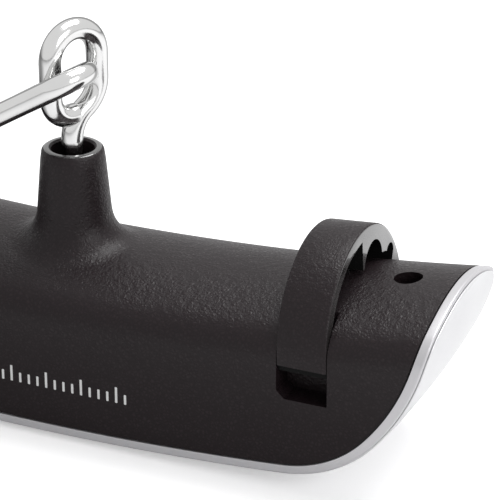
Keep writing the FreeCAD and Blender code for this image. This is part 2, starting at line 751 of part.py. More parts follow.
def load_cell():
    """The aluminium bending beam with its pair of joined holes, gauges and screws."""
    long = "(beam_right - beam_left)"
    beam = box("beam_bar", (long, "beam_wide", "beam_high"), ("(beam_right + beam_left) / 2", 0, "beam_bottom"))
    middle = "(beam_bottom + beam_high / 2)"
    tools = [rod("beam_eye", "beam_hole_radius", "2 * beam_wide", (place, "-beam_wide", middle), "y")
             for place in ("beam_hole_near", "beam_hole_far")]
    tools.append(box("beam_slot", ("beam_hole_far - beam_hole_near", "2 * beam_wide", "beam_hole_radius / 2"),
                     ("(beam_hole_far + beam_hole_near) / 2", 0, middle + " - beam_hole_radius / 4")))
    tools.append(rod("beam_shank", "wire_radius + shank_play", DEEP, (0, 0, 0)))
    made = []
    for place in ("beam_screw_near", "beam_screw_far"):
        tools.append(rod("beam_through", "beam_screw_radius", DEEP, (place, 0, 0)))
        shank = rod("cell_screw", "beam_screw_radius", "beam_high + body_depth / 6 - wall", (place, 0, "beam_bottom"))
        head = rod("cell_head", "beam_screw_head", "beam_screw_radius * 1.2",
                   (place, 0, "beam_bottom - beam_screw_radius * 1.2"))
        made.append(fuse("cell_screw_whole", shank, head))
    piece(cut("beam", beam, *tools), "load_cell")
    piece(group("cell_screws", *made), "load_cell_screws")
    gauges = [box("gauge", ("gauge_long", "beam_wide / 2", "gauge_thick"),
                  ("(beam_hole_far + beam_hole_near) / 2", 0, height))
              for height in ("beam_bottom - gauge_thick", "beam_bottom + beam_high")]
    piece(group("gauges", *gauges), "strain_gauges")
    top, low = "(beam_bottom - gauge_thick)", "(board_height + board_thick)"
    lead = box("lead", ("lead_thick", "lead_wide", "%s - %s" % (top, low)),
               ("(beam_hole_far + beam_hole_near) / 2", 0, low))
    piece(lead, "gauge_lead")


# ---------------------------------------------------------------- display and board

def display():
    """Window pane, display cell, its frame and the contact strips to the board."""
    play = " - 2 * pane_play"
    pane = bent_plate("pane", "window_long" + play, "window_wide" + play, "fascia_thick", "edge_height - gasket_thick")
    piece(pane, "display_window")
    floor = "(edge_height + gasket_thick)"
    lcd = box("lcd", ("lcd_long", "lcd_wide", "lcd_thick"), (0, 0, floor))
    piece(lcd, "display_cell")
    frame = box("frame_block", ("lcd_long + 2 * lcd_frame_wall", "lcd_wide + 2 * lcd_frame_wall",
                                "board_height - " + floor), (0, 0, floor))
    opening = box("frame_opening", ("lcd_long + pane_play", "lcd_wide + pane_play", DEEP), (0, 0, 0))
    piece(cut("frame", frame, opening), "display_frame")
    top = "(%s + lcd_thick)" % floor
    strips = [box("strip", ("lcd_long * 0.9", "connector_wide", "board_height - " + top),
                  (0, "%s * (lcd_wide / 2 - connector_wide)" % side, top)) for side in ("-1", "1")]
    piece(group("strips", *strips), "display_connectors")


def circuit_board():
    """The board over the display, its screws, its controller and the push switches."""
    long = "(board_right - board_left)"
    slab = box("slab", (long, "board_wide", "board_thick"), ("(board_right + board_left) / 2", 0, "board_height"))
    holes = [rod("board_hole", "board_screw_radius + bridge_play", DEEP, (along, across, 0))
             for along, across in posts()]
    piece(cut("board", slab, *holes), "circuit_board")
    top = "(board_height + board_thick)"
    made = []
    for along, across in posts():
        shank = rod("board_screw", "board_screw_radius", "board_height / 2 + board_thick - pane_play",
                    (along, across, "board_height / 2 + pane_play"))
        head = rod("board_head", "2 * board_screw_radius", "board_screw_radius", (along, across, top))
        made.append(fuse("board_screw_whole", shank, head))
    piece(group("board_screws_all", *made), "board_screws")
    piece(box("chip", ("chip_side", "chip_side", "chip_thick"), ("board_left + chip_side * 1.5", 0, top)),
          "controller_chip")
    switches = []
    for place in ("unit_place", "power_place"):
        tip = swing(place).multVec(spot(0, 0, "edge_height + button_flange_thick + button_travel"))
        low = "%g + pane_play / 2" % tip.z
        stem = rod("stem", "switch_side / 4", "board_height - (%s)" % low, ("%g" % tip.x, 0, low))
        case = box("case", ("switch_side", "switch_side", "(board_height - (%s)) / 2" % low),
                   ("%g" % tip.x, 0, "(board_height + %s) / 2" % low))
        switches.append(fuse("switch", case, stem))
    piece(group("switches", *switches), "push_switches")


def button(place, node):
    """A round button with a flange behind the front cover."""
    low, high = "-button_proud", "edge_height + button_flange_thick"
    cap = rod("button_cap", "button_radius", "%s - (%s)" % (high, low), (0, 0, low), carry=swing(place))
    flange = rod("button_rim", "button_radius + button_flange", "button_flange_thick",
                 (0, 0, "edge_height"), carry=swing(place))
    piece(fuse(node + "_whole", cap, flange), node)


# ---------------------------------------------------------------- battery

def battery():
    """Coin cell, its holder and contacts, and the coin-turned cap in the front cover."""
    carry = swing("cell_place")
    floor = "(edge_height + gasket_thick)"
    inner = "(cell_radius + cell_play)"
    cap = rod("cap_disc", "cap_radius", "cap_thick", (0, 0, "fascia_thick / 2"), carry=carry)
    slot = box("cap_slot", ("cap_slot_long", "cap_slot_wide", "cap_slot_deep + fascia_thick"),
               (0, 0, "-fascia_thick / 2"), carry=carry)
    boss = rod("cap_boss", "cell_radius", "%s - fascia_thick / 2 - cap_thick" % floor,
               (0, 0, "fascia_thick / 2 + cap_thick"), carry=carry)
    piece(cut("cap", fuse("cap_whole", cap, boss), slot), "battery_cap")
    piece(rod("cell", "cell_radius", "cell_thick", (0, 0, floor + " + pane_play"), carry=carry), "coin_cell")
    high = "(cell_thick + 2 * pane_play + contact_thick + holder_wall)"
    wall = rod("holder_wall_rod", inner + " + holder_wall", high, (0, 0, floor), carry=carry)
    room = rod("holder_room", inner, high + " - holder_wall", (0, 0, floor), carry=carry)
    notch = box("holder_notch", (inner, "contact_wide + pane_play", high + " - holder_wall"),
                (inner, 0, floor), carry=carry)
    piece(cut("holder", wall, room, notch), "battery_holder")
    top = "(%s + pane_play + cell_thick)" % floor
    plate = box("minus_plate", ("cell_radius", "contact_wide", "contact_thick"), (0, 0, top + " + pane_play / 2"),
                carry=carry)
    piece(plate, "negative_contact")
    upright = box("plus_strip", ("contact_thick", "contact_wide", "cell_thick"),
                  ("cell_radius + cell_play / 2 + contact_thick", 0, floor + " + pane_play"), carry=carry)
    piece(upright, "positive_contact")


# ---------------------------------------------------------------- build

def write_parts():
    """Check every object and every sub-part, then write the sub-parts."""
    doc.recompute()
    bad = [item.Label for item in doc.Objects if {"Invalid", "Error"} & set(item.State)]
    for item in pieces:
        if item.Shape.isNull() or not item.Shape.isValid():
            bad.append(item.Label + " shape")
    if bad:
        raise SystemExit("not built: " + ", ".join(bad))
    os.makedirs("parts", exist_ok=True)
    for item in pieces:
        item.Shape.exportStep("parts/%s.step" % item.Label)
        print("%-20s solids %d volume %.1f" % (item.Label, len(item.Shape.Solids), item.Shape.Volume))


back_shell()
front_cover()
seam_gasket()
fascia()
hook_bridge()
neck_bush()
housing_screws()
shank_eye()
hook()
shank_fastening()
load_cell()
display()
circuit_board()
button("unit_place", "unit_button")
button("power_place", "power_button")
battery()
write_parts()
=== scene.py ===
"""Looks of a hand-held digital luggage scale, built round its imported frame.

The scale lies on its display face: +X runs along the body, +Y across it and +Z
up through the neck to the wire hook.  Everything is in metres, in the frame's
own axes.  Each class below is one sub-assembly: it holds its sizes and builds
and dresses its own pieces.
"""

import logging
import math
from dataclasses import dataclass, field
from enum import Enum
from typing import Iterable, Sequence

import bmesh
import bpy
from mathutils import Matrix, Vector


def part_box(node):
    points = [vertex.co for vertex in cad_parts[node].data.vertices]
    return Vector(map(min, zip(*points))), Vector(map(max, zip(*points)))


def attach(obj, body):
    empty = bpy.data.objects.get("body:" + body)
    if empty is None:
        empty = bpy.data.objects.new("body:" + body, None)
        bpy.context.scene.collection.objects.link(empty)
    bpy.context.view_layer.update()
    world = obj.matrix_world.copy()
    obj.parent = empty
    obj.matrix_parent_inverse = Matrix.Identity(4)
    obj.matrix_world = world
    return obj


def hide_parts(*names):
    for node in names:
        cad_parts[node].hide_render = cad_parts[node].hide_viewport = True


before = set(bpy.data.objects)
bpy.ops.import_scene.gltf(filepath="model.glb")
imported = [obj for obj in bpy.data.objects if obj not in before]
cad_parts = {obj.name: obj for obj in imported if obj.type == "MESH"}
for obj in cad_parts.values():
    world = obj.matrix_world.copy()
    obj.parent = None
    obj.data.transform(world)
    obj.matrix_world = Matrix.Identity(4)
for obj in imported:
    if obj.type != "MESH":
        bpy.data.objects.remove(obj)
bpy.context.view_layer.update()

log = logging.getLogger("luggage_scale")
Point2 = tuple[float, float]
Colour = tuple[float, float, float]

HOUSING = "housing"
MILLI = 0.001


# ---------------------------------------------------------------- finishes

class Pattern(Enum):
    """The surface pattern that a finish carries."""

    LEATHER = "leather"
    SATIN = "satin"
    POLISHED = "polished"
    BRUSHED = "brushed"


class Graph:
    """A small helper that adds and joins the nodes of one tree."""

    def __init__(self, tree: bpy.types.NodeTree) -> None:
        """Keep the tree.

        Args:
            tree: the shader or group tree to build in.
        """
        self.tree = tree

    def add(self, kind: str, inputs: dict | None = None, **settings: object) -> bpy.types.Node:
        """Add a node.

        Args:
            kind: the node's type name.
            inputs: socket name or number to a plain value or to another node's output.
            settings: properties to set on the node itself.

        Returns:
            The new node.
        """
        node = self.tree.nodes.new(kind)
        for name, value in settings.items():
            setattr(node, name, value)
        for name, value in (inputs or {}).items():
            if isinstance(value, bpy.types.NodeSocket):
                self.tree.links.new(value, node.inputs[name])
            else:
                node.inputs[name].default_value = value
        return node

    def math(self, operation: str, first: object, second: object = 0.5) -> bpy.types.NodeSocket:
        """Join two values by one sum and return its output."""
        node = self.add("ShaderNodeMath", {0: first, 1: second}, operation=operation)
        return node.outputs[0]

    def spread(self, value: object, low: float, high: float, to_low: float, to_high: float) -> bpy.types.NodeSocket:
        """Map one range of values smoothly onto another and return the output."""
        inputs = {"Value": value, 1: low, 2: high, 3: to_low, 4: to_high}
        return self.add("ShaderNodeMapRange", inputs, interpolation_type="SMOOTHSTEP").outputs[0]


def new_group(name: str, inputs: Sequence[tuple[str, str, float]], outputs: Sequence[str]) -> tuple[Graph, dict]:
    """Start a shader node group.

    Args:
        name: the group's name.
        inputs: name, socket type and default value of each input.
        outputs: names of the float outputs.

    Returns:
        The group's graph, and its input sockets by name.
    """
    tree = bpy.data.node_groups.new(name, "ShaderNodeTree")
    for label, kind, value in inputs:
        socket = tree.interface.new_socket(label, in_out="INPUT", socket_type=kind)
        if kind == "NodeSocketFloat":
            socket.default_value = value
    for label in outputs:
        tree.interface.new_socket(label, in_out="OUTPUT", socket_type="NodeSocketFloat")
    graph = Graph(tree)
    start = graph.add("NodeGroupInput")
    return graph, {label: start.outputs[label] for label, _, _ in inputs}


def close_group(graph: Graph, results: dict[str, bpy.types.NodeSocket]) -> bpy.types.NodeTree:
    """Join the results to the group's outputs and return its tree."""
    graph.add("NodeGroupOutput", results)
    return graph.tree


# The fixed world side on which bright metal gets a painted dark reflection in its colour.
PAINTED_REFLECTION_SIDE = (-0.80, -0.30, -0.52)
VECTOR_INPUT = ("Vector", "NodeSocketVector", 0.0)


def leather_group() -> bpy.types.NodeTree:
    """Moulded leather grain: pebbles between fine creases, worn flatter in patches."""
    graph, given = new_group("leather_grain", [VECTOR_INPUT, ("Scale", "NodeSocketFloat", 1000.0)], ["Height", "Mask"])
    vector, scale = given["Vector"], given["Scale"]
    warp = graph.add("ShaderNodeTexNoise", {"Vector": vector, "Scale": scale, "Detail": 2.0})
    size = graph.math("DIVIDE", 0.9, scale)
    shift = graph.add("ShaderNodeVectorMath", {0: warp.outputs["Color"], 1: (0.5, 0.5, 0.5)}, operation="SUBTRACT")
    shift = graph.add("ShaderNodeVectorMath", {0: shift.outputs[0], "Scale": size}, operation="SCALE")
    moved = graph.add("ShaderNodeVectorMath", {0: vector, 1: shift.outputs[0]}, operation="ADD").outputs[0]
    cells = graph.add("ShaderNodeTexVoronoi", {"Vector": moved, "Scale": scale}, feature="DISTANCE_TO_EDGE")
    pebbles = graph.spread(cells.outputs["Distance"], 0.0, 0.5, 0.0, 1.0)
    coarse = graph.add("ShaderNodeTexNoise", {"Vector": vector, "Scale": graph.math("MULTIPLY", scale, 0.55),
                                              "Detail": 3.0, "Roughness": 0.6})
    waves = graph.spread(coarse.outputs[0], 0.3, 0.7, 0.0, 1.0)
    fine = graph.add("ShaderNodeTexNoise", {"Vector": vector, "Scale": graph.math("MULTIPLY", scale, 4.0),
                                            "Detail": 2.0})
    height = graph.math("MULTIPLY", pebbles, 0.55)
    rough = graph.math("MULTIPLY", waves, 0.8)
    height = graph.math("ADD", height, rough)
    height = graph.math("ADD", height, graph.math("MULTIPLY", fine.outputs[0], 0.14))
    patch = graph.add("ShaderNodeTexNoise", {"Vector": vector, "Scale": graph.math("MULTIPLY", scale, 0.05),
                                             "Detail": 3.0})
    worn = graph.spread(patch.outputs[0], 0.35, 0.68, 1.0, 0.55)
    return close_group(graph, {"Height": graph.math("MULTIPLY", height, worn), "Mask": pebbles})


def satin_group() -> bpy.types.NodeTree:
    """Fine sprayed or moulded satin: a dense speckle with broad, faint patches."""
    graph, given = new_group("satin_speckle", [VECTOR_INPUT, ("Scale", "NodeSocketFloat", 4000.0)], ["Height", "Mask"])
    vector, scale = given["Vector"], given["Scale"]
    speckle = graph.add("ShaderNodeTexNoise", {"Vector": vector, "Scale": scale, "Detail": 3.0, "Roughness": 0.65})
    patch = graph.add("ShaderNodeTexNoise", {"Vector": vector, "Scale": graph.math("MULTIPLY", scale, 0.02),
                                             "Detail": 4.0})
    mask = graph.math("ADD", graph.math("MULTIPLY", speckle.outputs[0], 0.4),
                      graph.math("MULTIPLY", patch.outputs[0], 0.6))
    return close_group(graph, {"Height": speckle.outputs[0], "Mask": mask})


def polish_group() -> bpy.types.NodeTree:
    """Polished metal: faint smears and hair-fine rubbing marks."""
    graph, given = new_group("polish_marks", [VECTOR_INPUT, ("Scale", "NodeSocketFloat", 400.0)], ["Height", "Mask"])
    vector, scale = given["Vector"], given["Scale"]
    smear = graph.add("ShaderNodeTexNoise", {"Vector": vector, "Scale": graph.math("MULTIPLY", scale, 0.5),
                                             "Detail": 5.0, "Roughness": 0.6})
    cells = graph.add("ShaderNodeTexVoronoi", {"Vector": vector, "Scale": graph.math("MULTIPLY", scale, 3.0)})
    pits = graph.spread(cells.outputs["Distance"], 0.0, 0.12, 0.0, 1.0)
    return close_group(graph, {"Height": pits, "Mask": smear.outputs[0]})


def brushed_group() -> bpy.types.NodeTree:
    """Brushed or drawn metal: long fine streaks along X."""
    graph, given = new_group("brushed_streaks", [VECTOR_INPUT, ("Scale", "NodeSocketFloat", 3000.0)],
                             ["Height", "Mask"])
    stretched = graph.add("ShaderNodeMapping", {"Vector": given["Vector"], "Scale": (0.04, 1.0, 1.0)})
    streaks = graph.add("ShaderNodeTexNoise", {"Vector": stretched.outputs[0], "Scale": given["Scale"],
                                               "Detail": 4.0, "Roughness": 0.7})
    return close_group(graph, {"Height": streaks.outputs[0], "Mask": streaks.outputs[0]})


GROUPS = {
    Pattern.LEATHER: leather_group(),
    Pattern.SATIN: satin_group(),
    Pattern.POLISHED: polish_group(),
    Pattern.BRUSHED: brushed_group(),
}


@dataclass(frozen=True)
class Finish:
    """One surface finish, which makes its own material.

    Colours are linear.  cell is the pattern's size and depth its relief, in metres.
    fade is the height over which the relief grows from calm to full, or None.
    The gloss setting by height gives the height over which the gloss grows to full, and its share below that height,
    or None; the weaker gloss low down is painted shade, darker towards the bottom.
    """

    name: str
    slot: str
    colour: Colour
    shade: Colour
    roughness: float
    pattern: Pattern = Pattern.SATIN
    cell: float = 0.00025
    depth: float = 0.000004
    rough_change: float = 0.06
    metallic: float = 0.0
    specular: float = 0.5
    coat: float = 0.0
    transmission: float = 0.0
    fade: tuple[float, float] | None = None
    # Gloss weakened low down: painted shade.
    painted_shade_gloss: tuple[float, float, float] | None = None
    # Whether the colour carries painted dark reflection bands.
    painted_reflection_bands: bool = False

    def paint_reflection_bands(self, graph: Graph, colour: bpy.types.NodeSocket) -> bpy.types.NodeSocket:
        """Paint a dark reflection into a colour: darker towards the edges by viewing angle, and where the surface
        faces one fixed side. This is a painted reflection of a dark room in bright metal.
        """
        facing = graph.add("ShaderNodeLayerWeight", {"Blend": 0.5}).outputs["Facing"]
        rising = graph.spread(facing, 0.50, 0.62, 0.0, 1.0)
        falling = graph.spread(facing, 0.72, 0.86, 1.0, 0.35)
        edges = graph.math("MULTIPLY", graph.math("MULTIPLY", rising, falling), 0.7)
        normal = graph.add("ShaderNodeNewGeometry").outputs["Normal"]
        turned = graph.add("ShaderNodeVectorMath", {0: normal, 1: PAINTED_REFLECTION_SIDE}, operation="DOT_PRODUCT")
        painted_side_reflection = graph.spread(turned.outputs["Value"], 0.25, 0.60, 0.0, 0.78)
        band = graph.math("MAXIMUM", edges, painted_side_reflection)
        # The painted dark reflection's colour, mixed in where the bands fall.
        painted_reflection_colour = graph.add("ShaderNodeMix", {0: band}, data_type="RGBA")
        graph.tree.links.new(colour, painted_reflection_colour.inputs["A"])
        painted_reflection_colour.inputs["B"].default_value = (0.05, 0.05, 0.048, 1.0)
        return painted_reflection_colour.outputs["Result"]

    def gloss_with_painted_shade(self, graph: Graph, up: bpy.types.NodeSocket | None, value: float) -> float | bpy.types.NodeSocket:
        """Return a gloss value: plain, or weakened low down as painted shade where the finish has a gloss setting by
        height.
        """
        if not self.painted_shade_gloss or not value:
            return value
        low, high, faint = self.painted_shade_gloss
        return graph.math("MULTIPLY", graph.spread(up, low, high, faint, 1.0), value)

    def material(self) -> bpy.types.Material:
        """Return the finish's material, made on first use."""
        made = bpy.data.materials.get(self.name)
        if made:
            return made
        made = bpy.data.materials.new(self.name)
        made.use_nodes = True
        made.node_tree.nodes.clear()
        graph = Graph(made.node_tree)
        place = graph.add("ShaderNodeTexCoord").outputs["Object"]
        effect = graph.add("ShaderNodeGroup", node_tree=GROUPS[self.pattern])
        made.node_tree.links.new(place, effect.inputs["Vector"])
        effect.inputs["Scale"].default_value = 1.0 / self.cell
        tone = graph.add("ShaderNodeMix", {0: effect.outputs["Mask"]}, data_type="RGBA")
        tone.inputs["A"].default_value = (*self.shade, 1.0)
        tone.inputs["B"].default_value = (*self.colour, 1.0)
        rough = graph.spread(effect.outputs["Mask"], 0.2, 0.8, self.roughness + self.rough_change,
                             self.roughness - self.rough_change)
        height = effect.outputs["Height"]
        up = graph.add("ShaderNodeSeparateXYZ", {0: place}).outputs["Z"] if self.fade or self.painted_shade_gloss else None
        if self.fade:
            height = graph.math("MULTIPLY", height, graph.spread(up, *self.fade, 0.35, 1.0))
        bump = graph.add("ShaderNodeBump", {"Height": height, "Distance": self.depth, "Strength": 1.0})
        # Where set, the colour carries painted dark reflection bands.
        colour = self.paint_reflection_bands(graph, tone.outputs["Result"]) if self.painted_reflection_bands else tone.outputs["Result"]
        # Specular and coat may be weakened low down as painted shade.
        shader = graph.add("ShaderNodeBsdfPrincipled", {
            "Base Color": colour, "Roughness": rough, "Normal": bump.outputs[0],
            "Metallic": self.metallic, "Specular IOR Level": self.gloss_with_painted_shade(graph, up, self.specular),
            "Coat Weight": self.gloss_with_painted_shade(graph, up, self.coat),
            "Transmission Weight": self.transmission})
        graph.add("ShaderNodeOutputMaterial", {"Surface": shader.outputs[0]})
        return made


# Charcoal shell: real grain and tone, with its gloss weakened low down as painted shade.
SHELL = Finish("charcoal_shell_painted_low_shade", "shell_plastic", (0.0165, 0.0105, 0.0122), (0.008, 0.0045, 0.0056), 0.38,
               Pattern.LEATHER, 0.00075, 0.0001, specular=0.27, fade=(0.012, 0.026),
               painted_shade_gloss=(0.010, 0.036, 0.6))
# Smooth faces of the neck's rim and the arch's sides: gloss and coat nearly vanish below the arch's crest, painted
# shade on the arch's legs.
SHELL_SMOOTH_PAINTED_LOW_SHADE = Finish("charcoal_smooth_face_painted_low_shade", "shell_plastic", (0.020, 0.018, 0.018), (0.014, 0.012, 0.012), 0.24,
                      Pattern.SATIN, 0.0005, 0.000003, rough_change=0.03, specular=1.0, coat=1.0,
                      painted_shade_gloss=(0.032, 0.039, 0.04))
# Near-black matt copy of the shell plastic for the arch's inner faces: painted shade in the tunnel under the arch.
SHELL_PAINTED_SHADE = Finish("charcoal_painted_shade_inner_face", "shell_plastic", (0.006, 0.006, 0.006), (0.004, 0.004, 0.004), 0.7,
                     specular=0.1)
COVER = Finish("satin_silver_cover", "cover_silver", (0.60, 0.59, 0.61), (0.52, 0.515, 0.53), 0.34,
               Pattern.SATIN, 0.0003, 0.000004, metallic=0.4)
FASCIA = Finish("pale_silver_fascia", "fascia_silver", (0.74, 0.74, 0.75), (0.68, 0.68, 0.695), 0.33,
                Pattern.SATIN, 0.0003, 0.000003, metallic=0.35)
GASKET = Finish("seam_rubber", "gasket_rubber", (0.012, 0.012, 0.012), (0.007, 0.007, 0.007), 0.7)
# Bright wire: its colour carries painted dark reflection bands at the edges and on one side.
CHROME = Finish("bright_wire", "wire_chrome", (0.84, 0.84, 0.835), (0.74, 0.74, 0.735), 0.13,
                Pattern.POLISHED, 0.004, 0.0000025, rough_change=0.05, metallic=1.0, painted_reflection_bands=True)
STEEL = Finish("zinc_steel", "screw_steel", (0.52, 0.52, 0.53), (0.36, 0.36, 0.37), 0.36,
               Pattern.BRUSHED, 0.0004, 0.000005, metallic=1.0)
NYLON = Finish("dark_nylon", "bush_nylon", (0.05, 0.05, 0.05), (0.03, 0.03, 0.03), 0.5)
ALUMINIUM = Finish("milled_aluminium", "cell_aluminium", (0.72, 0.72, 0.73), (0.58, 0.58, 0.59), 0.32,
                   Pattern.BRUSHED, 0.0004, 0.000006, metallic=1.0)
FILM = Finish("amber_film", "gauge_film", (0.62, 0.34, 0.07), (0.45, 0.22, 0.04), 0.3, coat=0.4)
GLASS = Finish("clear_window", "window_glass", (0.92, 0.94, 0.95), (0.90, 0.92, 0.93), 0.04,
               depth=0.0000005, rough_change=0.01, transmission=0.9)
LCD = Finish("display_glass", "lcd_glass", (0.30, 0.34, 0.27), (0.27, 0.31, 0.245), 0.16, depth=0.000001)
SEGMENT = Finish("display_segments", "lcd_glass", (0.035, 0.04, 0.035), (0.03, 0.035, 0.03), 0.25)
FRAME = Finish("white_frame", "frame_white", (0.72, 0.72, 0.70), (0.64, 0.64, 0.62), 0.45)
BOARD = Finish("green_board", "board_green", (0.012, 0.13, 0.045), (0.008, 0.09, 0.03), 0.32, coat=0.3)
CHIP = Finish("black_moulding", "chip_black", (0.022, 0.022, 0.023), (0.014, 0.014, 0.015), 0.5)
BUTTON = Finish("grey_button", "button_grey", (0.11, 0.11, 0.115), (0.085, 0.085, 0.09), 0.42)
INK = Finish("white_print", "button_grey", (0.75, 0.75, 0.75), (0.62, 0.62, 0.62), 0.55)
COIN = Finish("coin_steel", "coin_steel", (0.62, 0.62, 0.62), (0.5, 0.5, 0.5), 0.24, Pattern.BRUSHED, 0.0004,
              0.000003, metallic=1.0)
BRASS = Finish("contact_brass", "contact_brass", (0.70, 0.50, 0.20), (0.56, 0.38, 0.14), 0.3, Pattern.BRUSHED,
               0.0004, 0.000004, metallic=1.0)

CAD_FINISHES = {
    "neck_bush": NYLON, "housing_screws": STEEL, "shank_washer": STEEL, "shank_nut": STEEL,
    "load_cell": ALUMINIUM, "load_cell_screws": STEEL, "strain_gauges": FILM, "gauge_lead": FILM,
    "display_window": GLASS, "display_cell": LCD, "display_frame": FRAME, "display_connectors": GASKET,
    "circuit_board": BOARD, "board_screws": STEEL, "controller_chip": CHIP, "push_switches": CHIP,
    "coin_cell": COIN, "battery_holder": CHIP, "negative_contact": BRASS, "positive_contact": BRASS,
}


# ---------------------------------------------------------------- bench tools

def clear_selection() -> None:
    """Leave object mode with nothing selected."""
    if bpy.context.object and bpy.context.object.mode != "OBJECT":
        bpy.ops.object.mode_set(mode="OBJECT")
    bpy.ops.object.select_all(action="DESELECT")


def pick(thing: bpy.types.Object) -> bpy.types.Object:
    """Select one object alone, make it active and return it."""
    clear_selection()
    thing.select_set(True)
    bpy.context.view_layer.objects.active = thing
    return thing


def settle(thing: bpy.types.Object) -> bpy.types.Object:
    """Put an object's place into its mesh and return the object."""
    pick(thing)
    bpy.ops.object.transform_apply(location=True, rotation=True, scale=True)
    return thing


def tidy(thing: bpy.types.Object, merge: float = 1e-6) -> bpy.types.Object:
    """Merge doubled points and turn every face outwards."""
    pick(thing)
    bpy.ops.object.mode_set(mode="EDIT")
    bpy.ops.mesh.select_all(action="SELECT")
    bpy.ops.mesh.remove_doubles(threshold=merge)
    bpy.ops.mesh.normals_make_consistent(inside=False)
    bpy.ops.object.mode_set(mode="OBJECT")
    return thing


def carry(thing: bpy.types.Object, place: Matrix) -> bpy.types.Object:
    """Move an object's mesh by a matrix and return the object."""
    thing.data.transform(place)
    return thing


def apply_modifier(thing: bpy.types.Object, kind: str, **settings: object) -> bpy.types.Object:
    """Add one modifier with its settings and apply it."""
    pick(thing)
    modifier = thing.modifiers.new(kind.lower(), kind)
    for name, value in settings.items():
        setattr(modifier, name, value)
    bpy.ops.object.modifier_apply(modifier=modifier.name)
    return thing


def combine(thing: bpy.types.Object, tool: bpy.types.Object, operation: str = "DIFFERENCE") -> bpy.types.Object:
    """Cut, join or intersect one solid with another, which is used up."""
    apply_modifier(thing, "BOOLEAN", object=tool, operation=operation, solver="EXACT")
    bpy.data.objects.remove(tool)
    return thing


def polygon(name: str, points: Sequence[Point2], plane: str = "XZ", at: float = 0.0) -> bpy.types.Object:
    """A flat face with the given corners.

    Args:
        name: the object's name.
        points: the corners, in the plane's own two axes.
        plane: "XY", "XZ" or "YZ".
        at: the plane's distance along the third axis.

    Returns:
        The new object, with one face.
    """
    clear_selection()
    bpy.ops.mesh.primitive_circle_add(vertices=len(points), fill_type="NGON", radius=0.01)
    made = bpy.context.object
    made.name = name
    settle(made)
    for vertex, (first, second) in zip(made.data.vertices, points):
        spot = {"XY": (first, second, at), "XZ": (first, at, second), "YZ": (at, first, second)}[plane]
        vertex.co = spot
    return made


def prism(name: str, points: Sequence[Point2], plane: str, start: float, end: float) -> bpy.types.Object:
    """A solid between two copies of an outline, from start to end along the plane's normal."""
    made = pick(polygon(name, points, plane, start))
    move = {"XY": (0, 0, end - start), "XZ": (0, end - start, 0), "YZ": (end - start, 0, 0)}[plane]
    bpy.ops.object.mode_set(mode="EDIT")
    bpy.ops.mesh.select_all(action="SELECT")
    bpy.ops.mesh.extrude_region_move(TRANSFORM_OT_translate={"value": move})
    return tidy(made)


def lathe(name: str, profile: Sequence[Point2], steps: int = 96) -> bpy.types.Object:
    """A solid turned about Z from (radius, height) points that start and end on the axis."""
    made = pick(polygon(name, profile, "XZ"))
    bpy.ops.object.mode_set(mode="EDIT")
    bpy.ops.mesh.select_all(action="SELECT")
    bpy.ops.mesh.delete(type="ONLY_FACE")
    bpy.ops.mesh.select_all(action="SELECT")
    bpy.ops.mesh.spin(steps=steps, angle=2 * math.pi, center=(0, 0, 0), axis=(0, 0, 1))
    bpy.ops.object.mode_set(mode="OBJECT")
    return tidy(made, 2e-6)


def rod(name: str, radius: float, low: Vector, high: Vector, sides: int = 64) -> bpy.types.Object:
    """A plain round tool between two points."""
    clear_selection()
    along = Vector(high) - Vector(low)
    bpy.ops.mesh.primitive_cylinder_add(vertices=sides, radius=radius, depth=along.length)
    made = settle(bpy.context.object)
    made.name = name
    turn = along.to_track_quat("Z", "Y").to_matrix().to_4x4()
    return carry(made, Matrix.Translation((Vector(low) + Vector(high)) / 2) @ turn)


def arc(centre: Point2, radius: float, start: float, end: float, steps: int) -> list[Point2]:
    """Points of an arc, angles in radians, both ends included."""
    return [(centre[0] + radius * math.cos(start + (end - start) * step / steps),
             centre[1] + radius * math.sin(start + (end - start) * step / steps)) for step in range(steps + 1)]


def rounded_rectangle(long: float, wide: float, corner: float, steps: int = 8) -> list[Point2]:
    """The outline of a rectangle with round corners, centred on zero."""
    points: list[Point2] = []
    for quarter, (side_x, side_y) in enumerate(((1, 1), (-1, 1), (-1, -1), (1, -1))):
        centre = (side_x * (long / 2 - corner), side_y * (wide / 2 - corner))
        points += arc(centre, corner, quarter * math.pi / 2, (quarter + 1) * math.pi / 2, steps)
    return points


def wire(name: str, path: Sequence[Vector], radius: float, tip: float, sides: int = 12) -> bpy.types.Object:
    """A round wire along a path, with softened ends.

    Args:
        name: the object's name.
        path: points of the centre line.
        radius: the wire's radius.
        tip: how far each cut end is rounded.
        sides: a quarter of this many more sides than four go round the wire.

    Returns:
        The wire's mesh object.
    """
    curve = bpy.data.curves.new(name, "CURVE")
    curve.dimensions = "3D"
    curve.bevel_depth = radius
    curve.bevel_resolution = sides
    curve.use_fill_caps = True
    spline = curve.splines.new("POLY")
    spline.points.add(len(path) - 1)
    for point, spot in zip(spline.points, path):
        point.co = (*spot, 1.0)
    made = bpy.data.objects.new(name, curve)
    bpy.context.scene.collection.objects.link(made)
    pick(made)
    bpy.ops.object.convert(target="MESH")
    made = tidy(bpy.context.object)
    return apply_modifier(made, "BEVEL", width=tip, segments=5, limit_method="ANGLE", angle_limit=math.radians(60))


def present(thing: bpy.types.Object, body: str, finish: Finish, replaced: Iterable[str] = (),
            smooth: float = 34.0) -> bpy.types.Object:
    """Dress a finished piece and hang it on its body.

    Args:
        thing: the finished mesh object.
        body: the body that it rides on.
        finish: its finish, for the material.
        replaced: the frame's nodes that it stands for.
        smooth: edges flatter than this many degrees are shaded smooth.

    Returns:
        The same object.
    """
    pick(thing)
    bpy.ops.object.shade_smooth_by_angle(angle=math.radians(smooth))
    thing.data.materials.clear()
    thing.data.materials.append(finish.material())
    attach(thing, body)
    if replaced:
        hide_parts(*replaced)
    log.info("%s rides on %s with %d faces", thing.name, body, len(thing.data.polygons))
    return thing


# ---------------------------------------------------------------- the body's form

